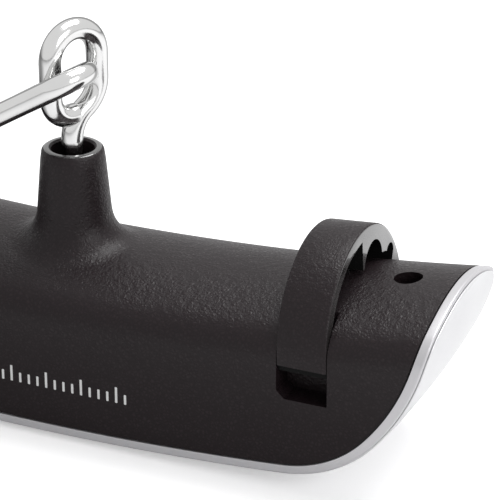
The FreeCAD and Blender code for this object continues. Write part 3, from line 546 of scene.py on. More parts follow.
@dataclass
class BodyForm:
    """The bent body with swept-up ends, shared by the shell, gasket, cover and fascia."""

    bend_radius: float = 620 * MILLI
    edge_height: float = 3.2 * MILLI
    depth: float = 31.8 * MILLI
    half_width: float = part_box("back_shell")[1].y
    crown_radius: float = 34 * MILLI
    shoulder_radius: float = 7 * MILLI
    end_start: float = 52.4 * MILLI
    low_radius: float = 24 * MILLI
    high_radius: float = 45 * MILLI
    end_turn: float = math.radians(49)
    tool_side: float = 40 * MILLI
    tool_top: float = 75 * MILLI
    tool_floor: float = -4 * MILLI

    @property
    def bend_height(self) -> float:
        """Height of the axis that the body is bent about."""
        return self.edge_height + self.bend_radius

    @property
    def start_slope(self) -> float:
        """Slope of the lower edge where the end begins to sweep up."""
        return math.asin(self.end_start / self.bend_radius)

    @property
    def shoulder_centre(self) -> Point2:
        """Centre of the shoulder arc, as (across, height over the edge)."""
        side = self.half_width - self.shoulder_radius
        rise = math.sqrt((self.crown_radius - self.shoulder_radius) ** 2 - side ** 2)
        return side, self.depth - self.crown_radius + rise

    def profile(self, along: float, out: float) -> Point2:
        """A point of the side profile.

        Args:
            along: distance from the middle, along the profile.
            out: how far the point lies outside it.

        Returns:
            The point's x and z.
        """
        sign, along = math.copysign(1.0, along), abs(along)
        first = self.start_slope * self.bend_radius
        second = first + (self.end_turn - self.start_slope) * self.low_radius
        slope = along / self.bend_radius
        centre_x, centre_z, radius = 0.0, self.bend_height, self.bend_radius
        if along > first:
            slope = self.start_slope + (along - first) / self.low_radius
            centre_x += (self.bend_radius - self.low_radius) * math.sin(self.start_slope)
            centre_z -= (self.bend_radius - self.low_radius) * math.cos(self.start_slope)
            radius = self.low_radius
        if along > second:
            slope = self.end_turn + (along - second) / self.high_radius
            centre_x += (self.low_radius - self.high_radius) * math.sin(self.end_turn)
            centre_z -= (self.low_radius - self.high_radius) * math.cos(self.end_turn)
            radius = self.high_radius
        reach = radius + out
        return sign * (centre_x + reach * math.sin(slope)), centre_z - reach * math.cos(slope)

    def rise(self, x: float, z: float) -> float:
        """Height of a point over the lower edge, measured towards the bend axis."""
        return self.bend_radius - math.hypot(x, z - self.bend_height)

    def along_at(self, rise: float, out: float) -> float:
        """Distance along the profile where a line pushed out by out reaches a given rise."""
        low, high = self.start_slope * self.bend_radius, 0.14
        for _ in range(48):
            middle = (low + high) / 2
            if self.rise(*self.profile(middle, out)) < rise:
                low = middle
            else:
                high = middle
        return (low + high) / 2

    def top_arc(self, steps: int) -> list[Point2]:
        """The section's shoulder and crown, as (half width, rise) from the side to the ridge."""
        side, height = self.shoulder_centre
        turn = math.atan2(height - self.depth + self.crown_radius, side)
        points = arc((side, height), self.shoulder_radius, 0.0, turn, steps // 2)
        points += arc((0.0, self.depth - self.crown_radius), self.crown_radius, turn, math.pi / 2, steps)[1:]
        return points

    def section(self, inset: float, below: float) -> list[Point2]:
        """The whole D-shaped section as (across, height over the edge), closed."""
        side, height = self.shoulder_centre
        turn = math.atan2(height - self.depth + self.crown_radius, side)
        right = arc((side, height), self.shoulder_radius - inset, 0.0, turn, 10)
        right += arc((0.0, self.depth - self.crown_radius), self.crown_radius - inset, turn, math.pi / 2, 18)[1:]
        wall_steps = 14
        edge = self.half_width - inset
        right = [(edge, -below + (height + below) * step / wall_steps) for step in range(wall_steps)] + right
        floor = [(edge * (2 * step / 24 - 1), -below) for step in range(1, 24)]
        left = [(-across, rise) for across, rise in reversed(right[:-1])]
        return right + left + floor

    def surface_height(self, x: float, y: float) -> float:
        """Height of the crown's surface over a point of the middle part."""
        rise = self.depth - self.crown_radius + math.sqrt(self.crown_radius ** 2 - y * y)
        return self.bend_height - math.sqrt((self.bend_radius - rise) ** 2 - x * x)

    def swing(self, place: float) -> Matrix:
        """The matrix that carries a thing from under the neck along the bend to x = place."""
        turn = Matrix.Rotation(-math.asin(place / self.bend_radius), 4, "Y")
        centre = Matrix.Translation((0, 0, self.bend_height))
        return centre @ turn @ centre.inverted()

    def bent_bar(self, name: str, inset: float, below: float, reach: float = 0.093) -> bpy.types.Object:
        """The D-shaped section swept along the bend, with plain ends."""
        points = [(across, rise + self.edge_height) for across, rise in self.section(inset, below)]
        made = pick(polygon(name, points, "YZ"))
        angle = math.asin(reach / self.bend_radius)
        centre = Vector((0, 0, self.bend_height))
        first = Matrix.Translation(centre) @ Matrix.Rotation(angle, 4, "Y") @ Matrix.Translation(-centre)
        carry(made, first)
        bpy.ops.object.mode_set(mode="EDIT")
        bpy.ops.mesh.select_all(action="SELECT")
        bpy.ops.mesh.spin(steps=130, angle=2 * angle, center=centre, axis=(0, 1, 0))
        bpy.ops.object.mode_set(mode="OBJECT")
        work = bmesh.new()
        work.from_mesh(made.data)
        bmesh.ops.remove_doubles(work, verts=work.verts, dist=1e-7)
        open_edges = [edge for edge in work.edges if len(edge.link_faces) == 1]
        bmesh.ops.holes_fill(work, edges=open_edges, sides=0)
        bmesh.ops.recalc_face_normals(work, faces=work.faces)
        work.to_mesh(made.data)
        work.free()
        return made

    def profile_prism(self, name: str, out: float, open_floor: bool = False) -> bpy.types.Object:
        """The side profile as a block across the whole width, pushed out by out.

        Args:
            name: the object's name.
            out: distance outside the profile, negative inside.
            open_floor: whether the block runs down through the lower edge between the ends.

        Returns:
            The block.
        """
        end = self.along_at(self.depth + 2 * MILLI, out)
        start = self.start_slope * self.bend_radius
        right = [self.profile(start + (end - start) * step / 90, out) for step in range(91)]
        if open_floor:
            floor = [(right[0][0], self.tool_floor)]
        else:
            floor = [self.profile(start * step / 40, out) for step in range(40)]
        right = floor + right + [(right[-1][0], self.tool_top)]
        left = [(-x, z) for x, z in reversed(right)]
        if not open_floor:
            left = left[:-1]
        return prism(name, right + left, "XZ", -self.tool_side, self.tool_side)

    def outline(self, out: float, inset: float, steps: int = 20) -> list[tuple[float, float]]:
        """Half of the face's outline, from the middle to one tip, as (along, half width)."""
        top = self.top_arc(steps)
        first = self.along_at(top[0][1], out)
        sides = 64
        points = [(first * step / sides, self.half_width) for step in range(sides)]
        points += [(self.along_at(rise, out), across) for across, rise in top]
        if not inset:
            return points
        moved = []
        for index, (along, across) in enumerate(points):
            before = points[max(index - 1, 0)]
            after = points[index + 1] if index + 1 < len(points) else (along, -points[index - 1][1])
            line = Vector((after[0] - before[0], after[1] - before[1])).normalized()
            moved.append((along + line.y * inset, max(across - line.x * inset, 0.0)))
        moved[0] = (0.0, moved[0][1])
        moved[-1] = (moved[-1][0], 0.0)
        return moved

    def plate(self, name: str, loops: Sequence[Point2], crown: float = 0.0, columns: int = 28) -> bpy.types.Object:
        """A closed plate that follows the profile and fills the face's outline.

        Args:
            name: the object's name.
            loops: (inset, out) of each rim loop, from the inner face's edge to the outer face's edge.
            crown: how much further out the outer face is in its middle.
            columns: how many strips each face has across.

        Returns:
            The plate.
        """
        work = bmesh.new()

        def spot(along: float, across: float, out: float) -> bmesh.types.BMVert:
            x, z = self.profile(along, out)
            return work.verts.new((x, across, z))

        chains = []
        for inset, out in loops:
            half = self.outline(out, inset)
            whole = [(-along, across) for along, across in reversed(half[1:])] + half
            right = [spot(along, across, out) for along, across in whole]
            left = [right[0]] + [spot(along, -across, out) for along, across in whole[1:-1]] + [right[-1]]
            chains.append((whole, right, left))
        for (_, right_a, left_a), (_, right_b, left_b) in zip(chains, chains[1:]):
            for side_a, side_b in ((right_a, right_b), (left_a, left_b)):
                for index in range(len(side_a) - 1):
                    work.faces.new((side_a[index], side_a[index + 1], side_b[index + 1], side_b[index]))
        for (whole, right, left), (_, out), bulge in ((chains[0], loops[0], 0.0), (chains[-1], loops[-1], crown)):
            rows = []
            for index, (along, across) in enumerate(whole):
                if right[index] is left[index]:
                    rows.append([right[index]] * (columns + 1))
                    continue
                middle = []
                for column in range(1, columns):
                    share = 2 * column / columns - 1
                    width = across / self.half_width
                    lift = bulge * (1 - share * share) * min(1.0, 1.6 * width)
                    middle.append(spot(along, -across * share, out + lift))
                rows.append([right[index]] + middle + [left[index]])
            for upper, lower in zip(rows, rows[1:]):
                for column in range(columns):
                    ring = [upper[column], upper[column + 1], lower[column + 1], lower[column]]
                    unique = list(dict.fromkeys(ring))
                    if len(unique) > 2:
                        work.faces.new(unique)
        bmesh.ops.recalc_face_normals(work, faces=work.faces)
        mesh = bpy.data.meshes.new(name)
        work.to_mesh(mesh)
        work.free()
        made = bpy.data.objects.new(name, mesh)
        bpy.context.scene.collection.objects.link(made)
        return made


# ---------------------------------------------------------------- housing

@dataclass
class Openings:
    """Places and sizes of what passes through the front cover and the fascia."""

    form: BodyForm
    window_long: float = 35 * MILLI
    window_wide: float = 13 * MILLI
    window_corner: float = 1.6 * MILLI
    pane_long: float = 38 * MILLI
    pane_wide: float = 16 * MILLI
    buttons: tuple[float, float] = (27.5 * MILLI, 38 * MILLI)
    button_hole: float = 3.85 * MILLI
    cap_place: float = -37.5 * MILLI
    cap_hole: float = 12.2 * MILLI
    reach: float = 12 * MILLI

    def cut(self, plate: bpy.types.Object, pane: bool) -> bpy.types.Object:
        """Cut the window, button holes and cap hole.

        Args:
            plate: the plate to cut.
            pane: whether the window is the pane's seat instead of its visible opening.

        Returns:
            The plate.
        """
        long, wide = (self.pane_long, self.pane_wide) if pane else (self.window_long, self.window_wide)
        corner = 0.3 * MILLI if pane else self.window_corner
        window = prism("window_tool", rounded_rectangle(long, wide, corner), "XY", -self.reach, self.reach)
        combine(plate, window)
        low, high = Vector((0, 0, -self.reach)), Vector((0, 0, self.reach))
        for place in self.buttons:
            combine(plate, carry(rod("button_tool", self.button_hole, low, high), self.form.swing(place)))
        combine(plate, carry(rod("cap_tool", self.cap_hole, low, high, 96), self.form.swing(self.cap_place)))
        return plate


@dataclass
class Neck:
    """The tapered neck, which flows into the ridge, and its bore."""

    form: BodyForm
    top: float = 53.9 * MILLI
    rim_radius: float = 6.2 * MILLI
    taper: float = math.radians(5)
    rim_round: float = 1.0 * MILLI
    flare: float = 6.2 * MILLI
    bore_radius: float = 4.3 * MILLI
    bush_drop: float = 5 * MILLI
    bush_length: float = 8 * MILLI
    steps: int = 120

    def cone_radius(self, z: float) -> float:
        """Radius of the tapered part at a height."""
        return self.rim_radius + (self.top - z) * math.tan(self.taper)

    def column(self, angle: float) -> list[Vector]:
        """The neck's outer line at one angle, from the rim's middle down into the body."""
        heading = Vector((math.cos(angle), math.sin(angle), 0))
        points = [(self.rim_radius - self.rim_round - 1.2 * MILLI, self.top),
                  (self.rim_radius - self.rim_round - 0.3 * MILLI, self.top)]
        for step in range(6):
            turn = math.radians(90 - 15 * step)
            points.append((self.rim_radius - self.rim_round * (1 - math.cos(turn)),
                           self.top - self.rim_round * (1 - math.sin(turn))))
        foot = self.cone_radius(0.036) + self.flare
        low = self.form.surface_height(foot * heading.x, foot * heading.y) - 0.00006
        corner_radius = self.cone_radius(0.035)
        corner = self.form.surface_height(corner_radius * heading.x, corner_radius * heading.y)
        start = corner + self.flare
        for step in range(1, 9):
            z = self.top - self.rim_round - (self.top - self.rim_round - start) * step / 8
            points.append((self.cone_radius(z), z))
        first, middle, last = (self.cone_radius(start), start), (self.cone_radius(corner), corner), (foot, low)
        for step in range(1, 15):
            share = step / 14
            weights = ((1 - share) ** 2, 2 * share * (1 - share), share ** 2)
            points.append(tuple(sum(weight * point[axis] for weight, point in zip(weights, (first, middle, last)))
                                for axis in (0, 1)))
        points.append((foot - 1 * MILLI, low - 4 * MILLI))
        return [heading * radius + Vector((0, 0, z)) for radius, z in points]

    def solid(self) -> bpy.types.Object:
        """The closed neck, rooted inside the body."""
        work = bmesh.new()
        columns = []
        for index in range(self.steps):
            line = self.column(2 * math.pi * index / self.steps)
            columns.append([work.verts.new(point) for point in line])
        for index, column in enumerate(columns):
            after = columns[(index + 1) % self.steps]
            for row in range(len(column) - 1):
                work.faces.new((column[row], column[row + 1], after[row + 1], after[row]))
        work.faces.new([column[0] for column in columns])
        work.faces.new([column[-1] for column in reversed(columns)])
        bmesh.ops.recalc_face_normals(work, faces=work.faces)
        mesh = bpy.data.meshes.new("neck")
        work.to_mesh(mesh)
        work.free()
        made = bpy.data.objects.new("neck", mesh)
        bpy.context.scene.collection.objects.link(made)
        return made

    def bore(self) -> bpy.types.Object:
        """The tool that opens the neck, wide down to the bush's seat and narrow below it."""
        seat = self.top - self.bush_drop - self.bush_length
        lip = 0.4 * MILLI
        return lathe("bore_tool", [(0, 0.02), (3.2 * MILLI, 0.02), (3.2 * MILLI, seat), (self.bore_radius, seat),
                                   (self.bore_radius, self.top - lip), (self.bore_radius + lip, self.top),
                                   (self.bore_radius + lip, self.top + 0.01), (0, self.top + 0.01)])


@dataclass
class HookBridge:
    """The arch over the ridge near one end, and the channels its legs stand in."""

    middle: float = (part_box("hook_bridge")[0].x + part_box("hook_bridge")[1].x) / 2
    wide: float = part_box("hook_bridge")[1].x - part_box("hook_bridge")[0].x
    top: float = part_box("hook_bridge")[1].z
    outer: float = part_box("hook_bridge")[1].y
    inner: float = 14.6 * MILLI
    crest: float = 3.8 * MILLI
    foot: float = 26.4 * MILLI
    crest_shift: float = 0.9 * MILLI
    tongue: float = 1.5 * MILLI
    play: float = 0.1 * MILLI
    window: float = 7 * MILLI
    corner: float = 1.6 * MILLI
    skin: float = 2.2 * MILLI
    web: Point2 = (-0.3 * MILLI, math.radians(5))
    web_low: float = 38.7 * MILLI
    big_hollow: Point2 = (5.0 * MILLI, 37.9 * MILLI)
    big_radius: float = 4.6 * MILLI
    cusp: Point2 = (11.2 * MILLI, 37.9 * MILLI)
    small_hollow: Point2 = (13.6 * MILLI, 36.6 * MILLI)
    small_radius: float = 1.9 * MILLI
    edge: float = 0.45 * MILLI
    tool_reach: float = 6 * MILLI
    channel_reach: float = 24 * MILLI

    def plain_outline(self, grown: float) -> list[Point2]:
        """All that lies outside the arch's inner line across the body, grown all round."""
        inner, wide, high = self.inner - grown, self.outer + self.tool_reach, self.top + self.tool_reach
        inner_z, foot = self.top - self.crest - self.inner, self.foot - grown
        points = [(wide, foot), (wide, high), (-wide, high), (-wide, foot), (-inner, foot)]
        return points + arc((0, inner_z), inner, math.pi, 0, 72) + [(inner, foot)]

    def outline(self) -> list[Point2]:
        """The arch's own outline: a thin near limb, two hollows under the crest and a stout far leg."""
        thin, foot, low = self.outer - self.skin, self.foot, self.foot - self.tongue
        points = [(self.outer, foot)] + arc((0, self.centre), self.outer, 0, math.pi, 72) + [(-self.outer, foot)]
        near, far = (self.outer + thin) / 2, (self.outer + self.inner) / 2
        points += [(-near, foot), (-near, low), (-thin, low)]
        points += arc((0, self.centre), thin, math.pi, math.acos(self.web[0] / thin), 40)
        (big_y, big_z), big = self.big_hollow, self.big_radius
        start = math.pi - math.asin((self.web_low - big_z) / big)
        points += [(self.web[0], self.web_low)] + arc(self.big_hollow, big, start, self.web[1], 24)
        points += [self.cusp] + arc(self.small_hollow, self.small_radius, math.radians(150), 0, 14)
        points += [(self.inner, self.small_hollow[1] - self.skin), (self.inner, low), (far, low), (far, foot)]
        return points

    @property
    def centre(self) -> float:
        """Height of the outer arc's centre."""
        return self.top - self.outer

    def lean(self, thing: bpy.types.Object) -> bpy.types.Object:
        """Set an upright piece's crest square to the bent ridge while its foot stays where it is."""
        slope = self.middle / BodyForm.bend_radius
        for vertex in thing.data.vertices:
            share = min(max((vertex.co.z - self.foot) / (self.top - self.foot), 0), 1)
            vertex.co.z += slope * (vertex.co.x - self.middle) * share
            vertex.co.x -= self.crest_shift * share
        return thing

    def solid(self) -> bpy.types.Object:
        """The arch with softened edges."""
        start = self.middle - self.wide / 2
        made = prism("bridge_arch", self.outline(), "YZ", start, start + self.wide)
        weights = made.data.attributes.new("bevel_weight_edge", "FLOAT", "EDGE")
        for edge, weight in zip(made.data.edges, weights.data):
            ends = [made.data.vertices[index].co for index in edge.vertices]
            outer = all(math.hypot(end.y, end.z - self.centre) > self.outer - 0.1 * MILLI for end in ends)
            weight.value = float(outer and abs(ends[0].x - ends[1].x) < 0.1 * MILLI)
        apply_modifier(made, "BEVEL", width=self.edge, segments=3, limit_method="WEIGHT")
        return self.lean(made)

    def slots(self) -> list[bpy.types.Object]:
        """The tools for the slot that the arch stands in and the channels in both sides."""
        half = self.wide / 2 + self.play
        slot = prism("slot_tool", self.plain_outline(self.play), "YZ", self.middle - half, self.middle + half)
        tools = [self.lean(slot)]
        low, high = self.foot - self.window, self.foot
        face = [(self.middle - half + self.corner, low), (self.middle + half, low), (self.middle + half, high),
                (self.middle - half, high), (self.middle - half, low + self.corner)]
        for side in (-1, 1):
            depth = sorted((side * (self.inner - self.play), side * self.channel_reach))
            tools.append(prism("channel_tool", face, "XZ", *depth))
        return tools


@dataclass
class Housing:
    """The shell with its neck and bridge, the gasket, the cover and the fascia."""

    form: BodyForm = field(default_factory=BodyForm)
    wall: float = 2 * MILLI
    gasket: float = 0.35 * MILLI
    gasket_inset: float = 0.5 * MILLI
    cover: float = 2.2 * MILLI
    cover_round: float = 0.45 * MILLI
    fascia: float = 1.0 * MILLI
    fascia_edge: float = 0.35 * MILLI
    bond: float = 0.1 * MILLI
    fascia_inset: float = 0.9 * MILLI
    screw_place: float = 70 * MILLI
    access_radius: float = 2.75 * MILLI
    screw_seat: float = 22 * MILLI
    screw_hole: float = 1.4 * MILLI
    well_wall: float = 1.8 * MILLI
    bush_floor: float = 38.9 * MILLI
    bush_wall: float = 6.3 * MILLI
    beam_span: tuple[float, float] = (26 * MILLI, 43 * MILLI)
    beam_floor: float = 26.1 * MILLI
    beam_half: float = 6.5 * MILLI
    block_side: float = 30 * MILLI
    block_floor: float = -10 * MILLI
    block_top: float = 60 * MILLI
    rim_steps: int = 5

    def shell(self) -> bpy.types.Object:
        """The dark rear shell, hollow, with its neck, wells and bridge slots."""
        form, neck = self.form, Neck(self.form)
        made = form.bent_bar("rear_shell", 0.0, 1.5 * MILLI)
        combine(made, form.profile_prism("end_tool", 0.0), "INTERSECT")
        combine(made, neck.solid(), "UNION")
        hollow = form.bent_bar("hollow_tool", self.wall, 3 * MILLI)
        combine(hollow, form.profile_prism("hollow_end_tool", -self.wall, open_floor=True), "INTERSECT")
        for block in self.solid_ground():
            combine(hollow, block)
        combine(made, hollow)
        combine(made, neck.bore())
        for side in (-1, 1):
            low = Vector((side * self.screw_place, 0, self.screw_seat))
            well = rod("well_tool", self.access_radius, low, low + Vector((0, 0, 0.03)))
            combine(made, well)
            lower = Vector((side * self.screw_place, 0, 0.0))
            combine(made, rod("well_hole_tool", self.screw_hole, lower, low + Vector((0, 0, 0.001)), 32))
        for tool in HookBridge().slots():
            combine(made, tool)
        return tidy(made)

    def solid_ground(self) -> list[bpy.types.Object]:
        """Blocks of the hollow that stay solid: round the bridge, the wells and the bush."""
        bridge = HookBridge()
        half = bridge.wide / 2 + self.wall
        blocks = []
        for side in (-1, 1):
            depth = sorted((side * (bridge.inner - self.wall), side * self.block_side))
            face = [(bridge.middle - half, self.block_floor), (bridge.middle + half, self.block_floor),
                    (bridge.middle + half, self.block_top), (bridge.middle - half, self.block_top)]
            blocks.append(prism("bridge_ground", face, "XZ", *depth))
            low = Vector((side * self.screw_place, 0, self.block_floor))
            high = low + Vector((0, 0, 80 * MILLI))
            blocks.append(rod("well_ground", self.access_radius + self.well_wall, low, high))
        low = Vector((0, 0, self.bush_floor))
        blocks.append(rod("bush_ground", self.bush_wall, low, low + Vector((0, 0, 30 * MILLI))))
        (start, end), floor, top = self.beam_span, self.beam_floor, self.block_top
        beam = [(start, floor), (end, floor), (end, top), (start, top)]
        blocks.append(prism("beam_ground", beam, "XZ", -self.beam_half, self.beam_half))
        return blocks

    def rim(self, low: float, high: float, inset: float, radius: float) -> list[Point2]:
        """Rim loops of a plate whose outer edge is rounded."""
        loops = [(inset, low)]
        for step in range(self.rim_steps + 1):
            turn = math.pi / 2 * step / self.rim_steps
            loops.append((inset + radius * (1 - math.cos(turn)), high - radius * (1 - math.sin(turn))))
        return loops

    def build(self) -> None:
        """Make and dress every piece of the housing."""
        openings = Openings(self.form)
        shell = present(self.shell(), HOUSING, SHELL, ["back_shell"])
        shell.data.materials.append(SHELL_SMOOTH_PAINTED_LOW_SHADE.material())
        for face in shell.data.polygons:
            face.material_index = int(face.center.z > Neck.top - 0.15 * MILLI)
        bridge = HookBridge()
        arch = present(bridge.solid(), HOUSING, SHELL, ["hook_bridge"], smooth=40)
        arch.data.materials.append(SHELL_SMOOTH_PAINTED_LOW_SHADE.material())
        arch.data.materials.append(SHELL_PAINTED_SHADE.material())
        # Side faces get the smooth finish, with painted shade low down; inner faces get the near-black finish, painted
        # shade under the arch.
        for face in arch.data.polygons:
            inner = math.hypot(face.center.y, face.center.z - bridge.centre) < bridge.outer - 1 * MILLI
            face.material_index = 1 if abs(face.normal.x) > 0.9 else 2 * int(inner)
        gasket = self.form.plate("seam_line", [(self.gasket_inset, 0.0), (self.gasket_inset, self.gasket)])
        present(gasket, HOUSING, GASKET, ["seam_gasket"])
        cover = self.form.plate("cover_band", self.rim(self.gasket, self.cover, 0.0, self.cover_round))
        present(openings.cut(cover, pane=True), HOUSING, COVER, ["front_cover"])
        low, high = self.cover + self.bond, self.cover + self.fascia_edge
        rim = self.rim(low, high, self.fascia_inset, 0.2 * MILLI)
        fascia = self.form.plate("fascia_plate", rim, crown=self.fascia - self.fascia_edge)
        present(openings.cut(fascia, pane=False), HOUSING, FASCIA, ["face_plate"])


# ---------------------------------------------------------------- wire parts

@dataclass
class WireParts:
    """The swivelling eye and the hook that hangs in it, both bent from round wire."""

    radius: float = 2.2 * MILLI
    half_span: float = 5.75 * MILLI
    eye_top: float = 77.9 * MILLI
    eye_bottom: float = 60.5 * MILLI
    eye_offset: float = 0.87 * MILLI
    curl_end: float = 0.85 * MILLI
    curl: float = 4.4 * MILLI
    bend_angle: float = math.radians(60)
    bend_start: float = 55.5 * MILLI
    eye_turn: float = math.radians(66)
    shank_bottom: float = 11 * MILLI
    ring: float = 5.1 * MILLI
    ring_back: float = 3.2 * MILLI
    ring_front: float = 2.0 * MILLI
    ring_open: float = math.radians(20)
    shank: float = 14 * MILLI
    bow: float = 12 * MILLI
    bow_reach: float = 38.6 * MILLI
    flare_angle: float = math.radians(35)
    tip_run: float = 7 * MILLI
    tip_angle: float = math.radians(28)
    tip_radius: float = 11 * MILLI
    pivot_height: float = 66.9 * MILLI
    rest_slope: float = math.radians(31.1)
    rest_roll: float = math.radians(5.3)

    def eye(self) -> bpy.types.Object:
        """The shank and its closed eye."""
        far, near = self.eye_offset + self.half_span, self.eye_offset - self.half_span
        bend = far / 2 / (1 - math.cos(self.bend_angle))
        low, high = self.bend_start, self.bend_start + 2 * bend * math.sin(self.bend_angle)
        arch = self.eye_top - self.half_span
        last = near + self.curl
        flat: list[Point2] = [(0, self.shank_bottom), (0, low - 2 * MILLI)]
        flat += arc((bend, low), bend, math.pi, math.pi - self.bend_angle, 16)
        flat += arc((far - bend, high), bend, -self.bend_angle, 0, 16)[1:]
        flat += arc((self.eye_offset, arch), self.half_span, 0, math.pi, 48)
        flat += arc((last, self.eye_bottom + self.curl), self.curl, math.pi, 1.5 * math.pi, 24)
        flat.append((self.curl_end, self.eye_bottom))
        turn = Matrix.Rotation(self.eye_turn, 4, "Z")
        return wire("wire_eye", [turn @ Vector((across, 0, up)) for across, up in flat], self.radius, 0.5 * MILLI)

    def hook(self) -> bpy.types.Object:
        """The hook: ring, shank, bow and turned-out tip."""
        flare = (self.bow - self.ring) / 2 / (1 - math.cos(self.flare_angle))
        run = flare * math.sin(self.flare_angle)
        tip = self.bow_reach - self.tip_run
        quarter = math.pi / 2
        flat = arc((self.ring_front, 0), self.ring, -self.ring_open, quarter, 28)
        flat += arc((-self.ring_back, 0), self.ring, quarter, 3 * quarter, 40)
        flat += arc((self.shank, -self.ring - flare), flare, quarter, quarter - self.flare_angle, 16)
        flat += arc((self.shank + 2 * run, -self.bow + flare), flare, -quarter - self.flare_angle, -quarter, 16)[1:]
        flat += arc((self.bow_reach, 0), self.bow, -quarter, quarter, 64)
        flat += arc((tip, self.bow + self.tip_radius), self.tip_radius, -quarter, -quarter - self.tip_angle, 12)
        limb = Matrix.Rotation(self.eye_turn, 4, "Z") @ Vector((self.eye_offset - self.half_span, 0, 0))
        limb.z = self.pivot_height
        place = Matrix.Translation(limb) @ Matrix.Rotation(math.pi - self.rest_slope, 4, "Y")
        place = place @ Matrix.Rotation(self.rest_roll, 4, "X")
        path = [place @ Vector((along, across, 0)) for along, across in flat]
        return wire("wire_hook", path, self.radius, 1.3 * MILLI)

    def build(self) -> None:
        """Make and dress both wires."""
        present(self.eye(), "shank", CHROME, ["shank_eye"], smooth=50)
        present(self.hook(), "hook", CHROME, ["hook"], smooth=50)


# ---------------------------------------------------------------- face details

@dataclass
class FaceParts:
    """Buttons, battery cap and display segments on the underside."""

    form: BodyForm = field(default_factory=BodyForm)
    unit_place: float = 27.5 * MILLI
    power_place: float = 38 * MILLI
    button_radius: float = 3.6 * MILLI
    button_rim: float = 4.5 * MILLI
    button_low: float = -0.25 * MILLI
    button_seat: float = 3.2 * MILLI
    button_back: float = 3.8 * MILLI
    cap_place: float = -37.5 * MILLI
    cap_radius: float = 12 * MILLI
    cap_low: float = 0.5 * MILLI
    cap_thick: float = 1.6 * MILLI
    cap_back: float = 3.55 * MILLI
    cell_radius: float = 10 * MILLI
    slot_long: float = 14 * MILLI
    slot_wide: float = 1.6 * MILLI
    slot_deep: float = 0.7 * MILLI
    notches: int = 24

    def button(self, name: str, place: float) -> bpy.types.Object:
        """A dished round button with a retaining rim."""
        low, soft, dish = self.button_low, 0.35 * MILLI, 0.22 * MILLI
        profile: list[Point2] = [(0, low + dish)]
        profile += [(self.button_radius * 0.78 * math.sin(math.radians(step * 18)),
                     low + dish * math.cos(math.radians(step * 18))) for step in range(1, 5)]
        profile += arc((self.button_radius - soft, low + soft), soft, -math.pi / 2, 0, 6)
        profile += [(self.button_radius, self.button_seat), (self.button_rim, self.button_seat),
                    (self.button_rim, self.button_back), (0, self.button_back)]
        return carry(lathe(name, profile), self.form.swing(place))

    def icon(self, name: str, place: float, ring: bool) -> bpy.types.Object:
        """A small raised mark on a button: an open ring with a bar, or two bars."""
        low, high = self.button_low - 0.03 * MILLI, self.button_low + 0.5 * MILLI
        bar = rounded_rectangle(0.34 * MILLI, 1.5 * MILLI, 0.16 * MILLI, 4)
        if not ring:
            made = prism(name, [(x - 0.55 * MILLI, y) for x, y in bar], "XY", low, high)
            other = prism("second_bar", [(x + 0.55 * MILLI, y) for x, y in bar], "XY", low, high)
            return carry(combine(made, other, "UNION"), self.form.swing(place))
        made = prism(name, [(x, y + 0.75 * MILLI) for x, y in bar], "XY", low, high)
        opening = math.radians(38)
        start, end = math.pi / 2 + opening, 2.5 * math.pi - opening
        band = arc((0, 0), 1.35 * MILLI, start, end, 40) + arc((0, 0), 1.02 * MILLI, end, start, 40)
        combine(made, prism("icon_ring", band, "XY", low, high), "UNION")
        return carry(made, self.form.swing(place))

    def cap(self) -> bpy.types.Object:
        """The battery cap with its coin slot and a notched edge."""
        low, soft = self.cap_low, 0.4 * MILLI
        back = low + self.cap_thick
        profile: list[Point2] = [(0, low)] + arc((self.cap_radius - soft, low + soft), soft, -math.pi / 2, 0, 6)
        profile += [(self.cap_radius, back), (self.cell_radius, back), (self.cell_radius, self.cap_back),
                    (0, self.cap_back)]
        made = lathe("coin_cap", profile, 120)
        slot = rounded_rectangle(self.slot_long, self.slot_wide, self.slot_wide / 2 - 0.05 * MILLI)
        combine(made, prism("coin_slot_tool", slot, "XY", low - 1 * MILLI, low + self.slot_deep))
        groove = [(self.cap_radius * 0.80, low - 1 * MILLI), (self.cap_radius * 0.83, low - 1 * MILLI),
                  (self.cap_radius * 0.83, low + 0.2 * MILLI), (self.cap_radius * 0.80, low + 0.2 * MILLI)]
        ring = lathe("cap_groove_tool", groove, 120)
        combine(made, ring)
        for index in range(self.notches):
            angle = 2 * math.pi * index / self.notches
            spot = Vector((math.cos(angle), math.sin(angle), 0)) * (self.cap_radius * 0.93)
            tool = rod("notch_tool", 0.32 * MILLI, spot + Vector((0, 0, low - 1 * MILLI)),
                       spot + Vector((0, 0, low + 0.25 * MILLI)), 16)
            combine(made, tool)
        return carry(made, self.form.swing(self.cap_place))

    def segments(self) -> bpy.types.Object:
        """The dark bars of the display's numbers, on the display cell's lower face."""
        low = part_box("display_cell")[0].z
        bar_long, bar_wide, step = 3.6 * MILLI, 0.7 * MILLI, 7.2 * MILLI
        made = None
        for digit in range(4):
            middle = (digit - 1.5) * step
            bars = [(middle, level * bar_long, False) for level in (-1, 0, 1)]
            bars += [(middle + side * bar_long / 2, level * bar_long / 2, True) for side in (-1, 1)
                     for level in (-1, 1)]
            for x, y, upright in bars:
                long, wide = (bar_wide, bar_long - bar_wide) if upright else (bar_long - bar_wide, bar_wide)
                points = [(x + across, y + up) for across, up in rounded_rectangle(long, wide, bar_wide * 0.45, 3)]
                bar = prism("segment", points, "XY", low - 0.05 * MILLI, low)
                if made is None:
                    made = bar
                    made.name = "display_numbers"
                else:
                    pick(made)
                    bar.select_set(True)
                    bpy.ops.object.join()
        return made

    def build(self) -> None:
        """Make and dress the face's pieces."""
        present(self.button("unit_key", self.unit_place), "unit_button", BUTTON, ["unit_button"])
        present(self.button("power_key", self.power_place), "power_button", BUTTON, ["power_button"])
        present(self.icon("unit_mark", self.unit_place, ring=False), "unit_button", INK)
        present(self.icon("power_mark", self.power_place, ring=True), "power_button", INK)
        present(self.cap(), "battery_cap", COVER, ["battery_cap"])
        present(self.segments(), HOUSING, SEGMENT)


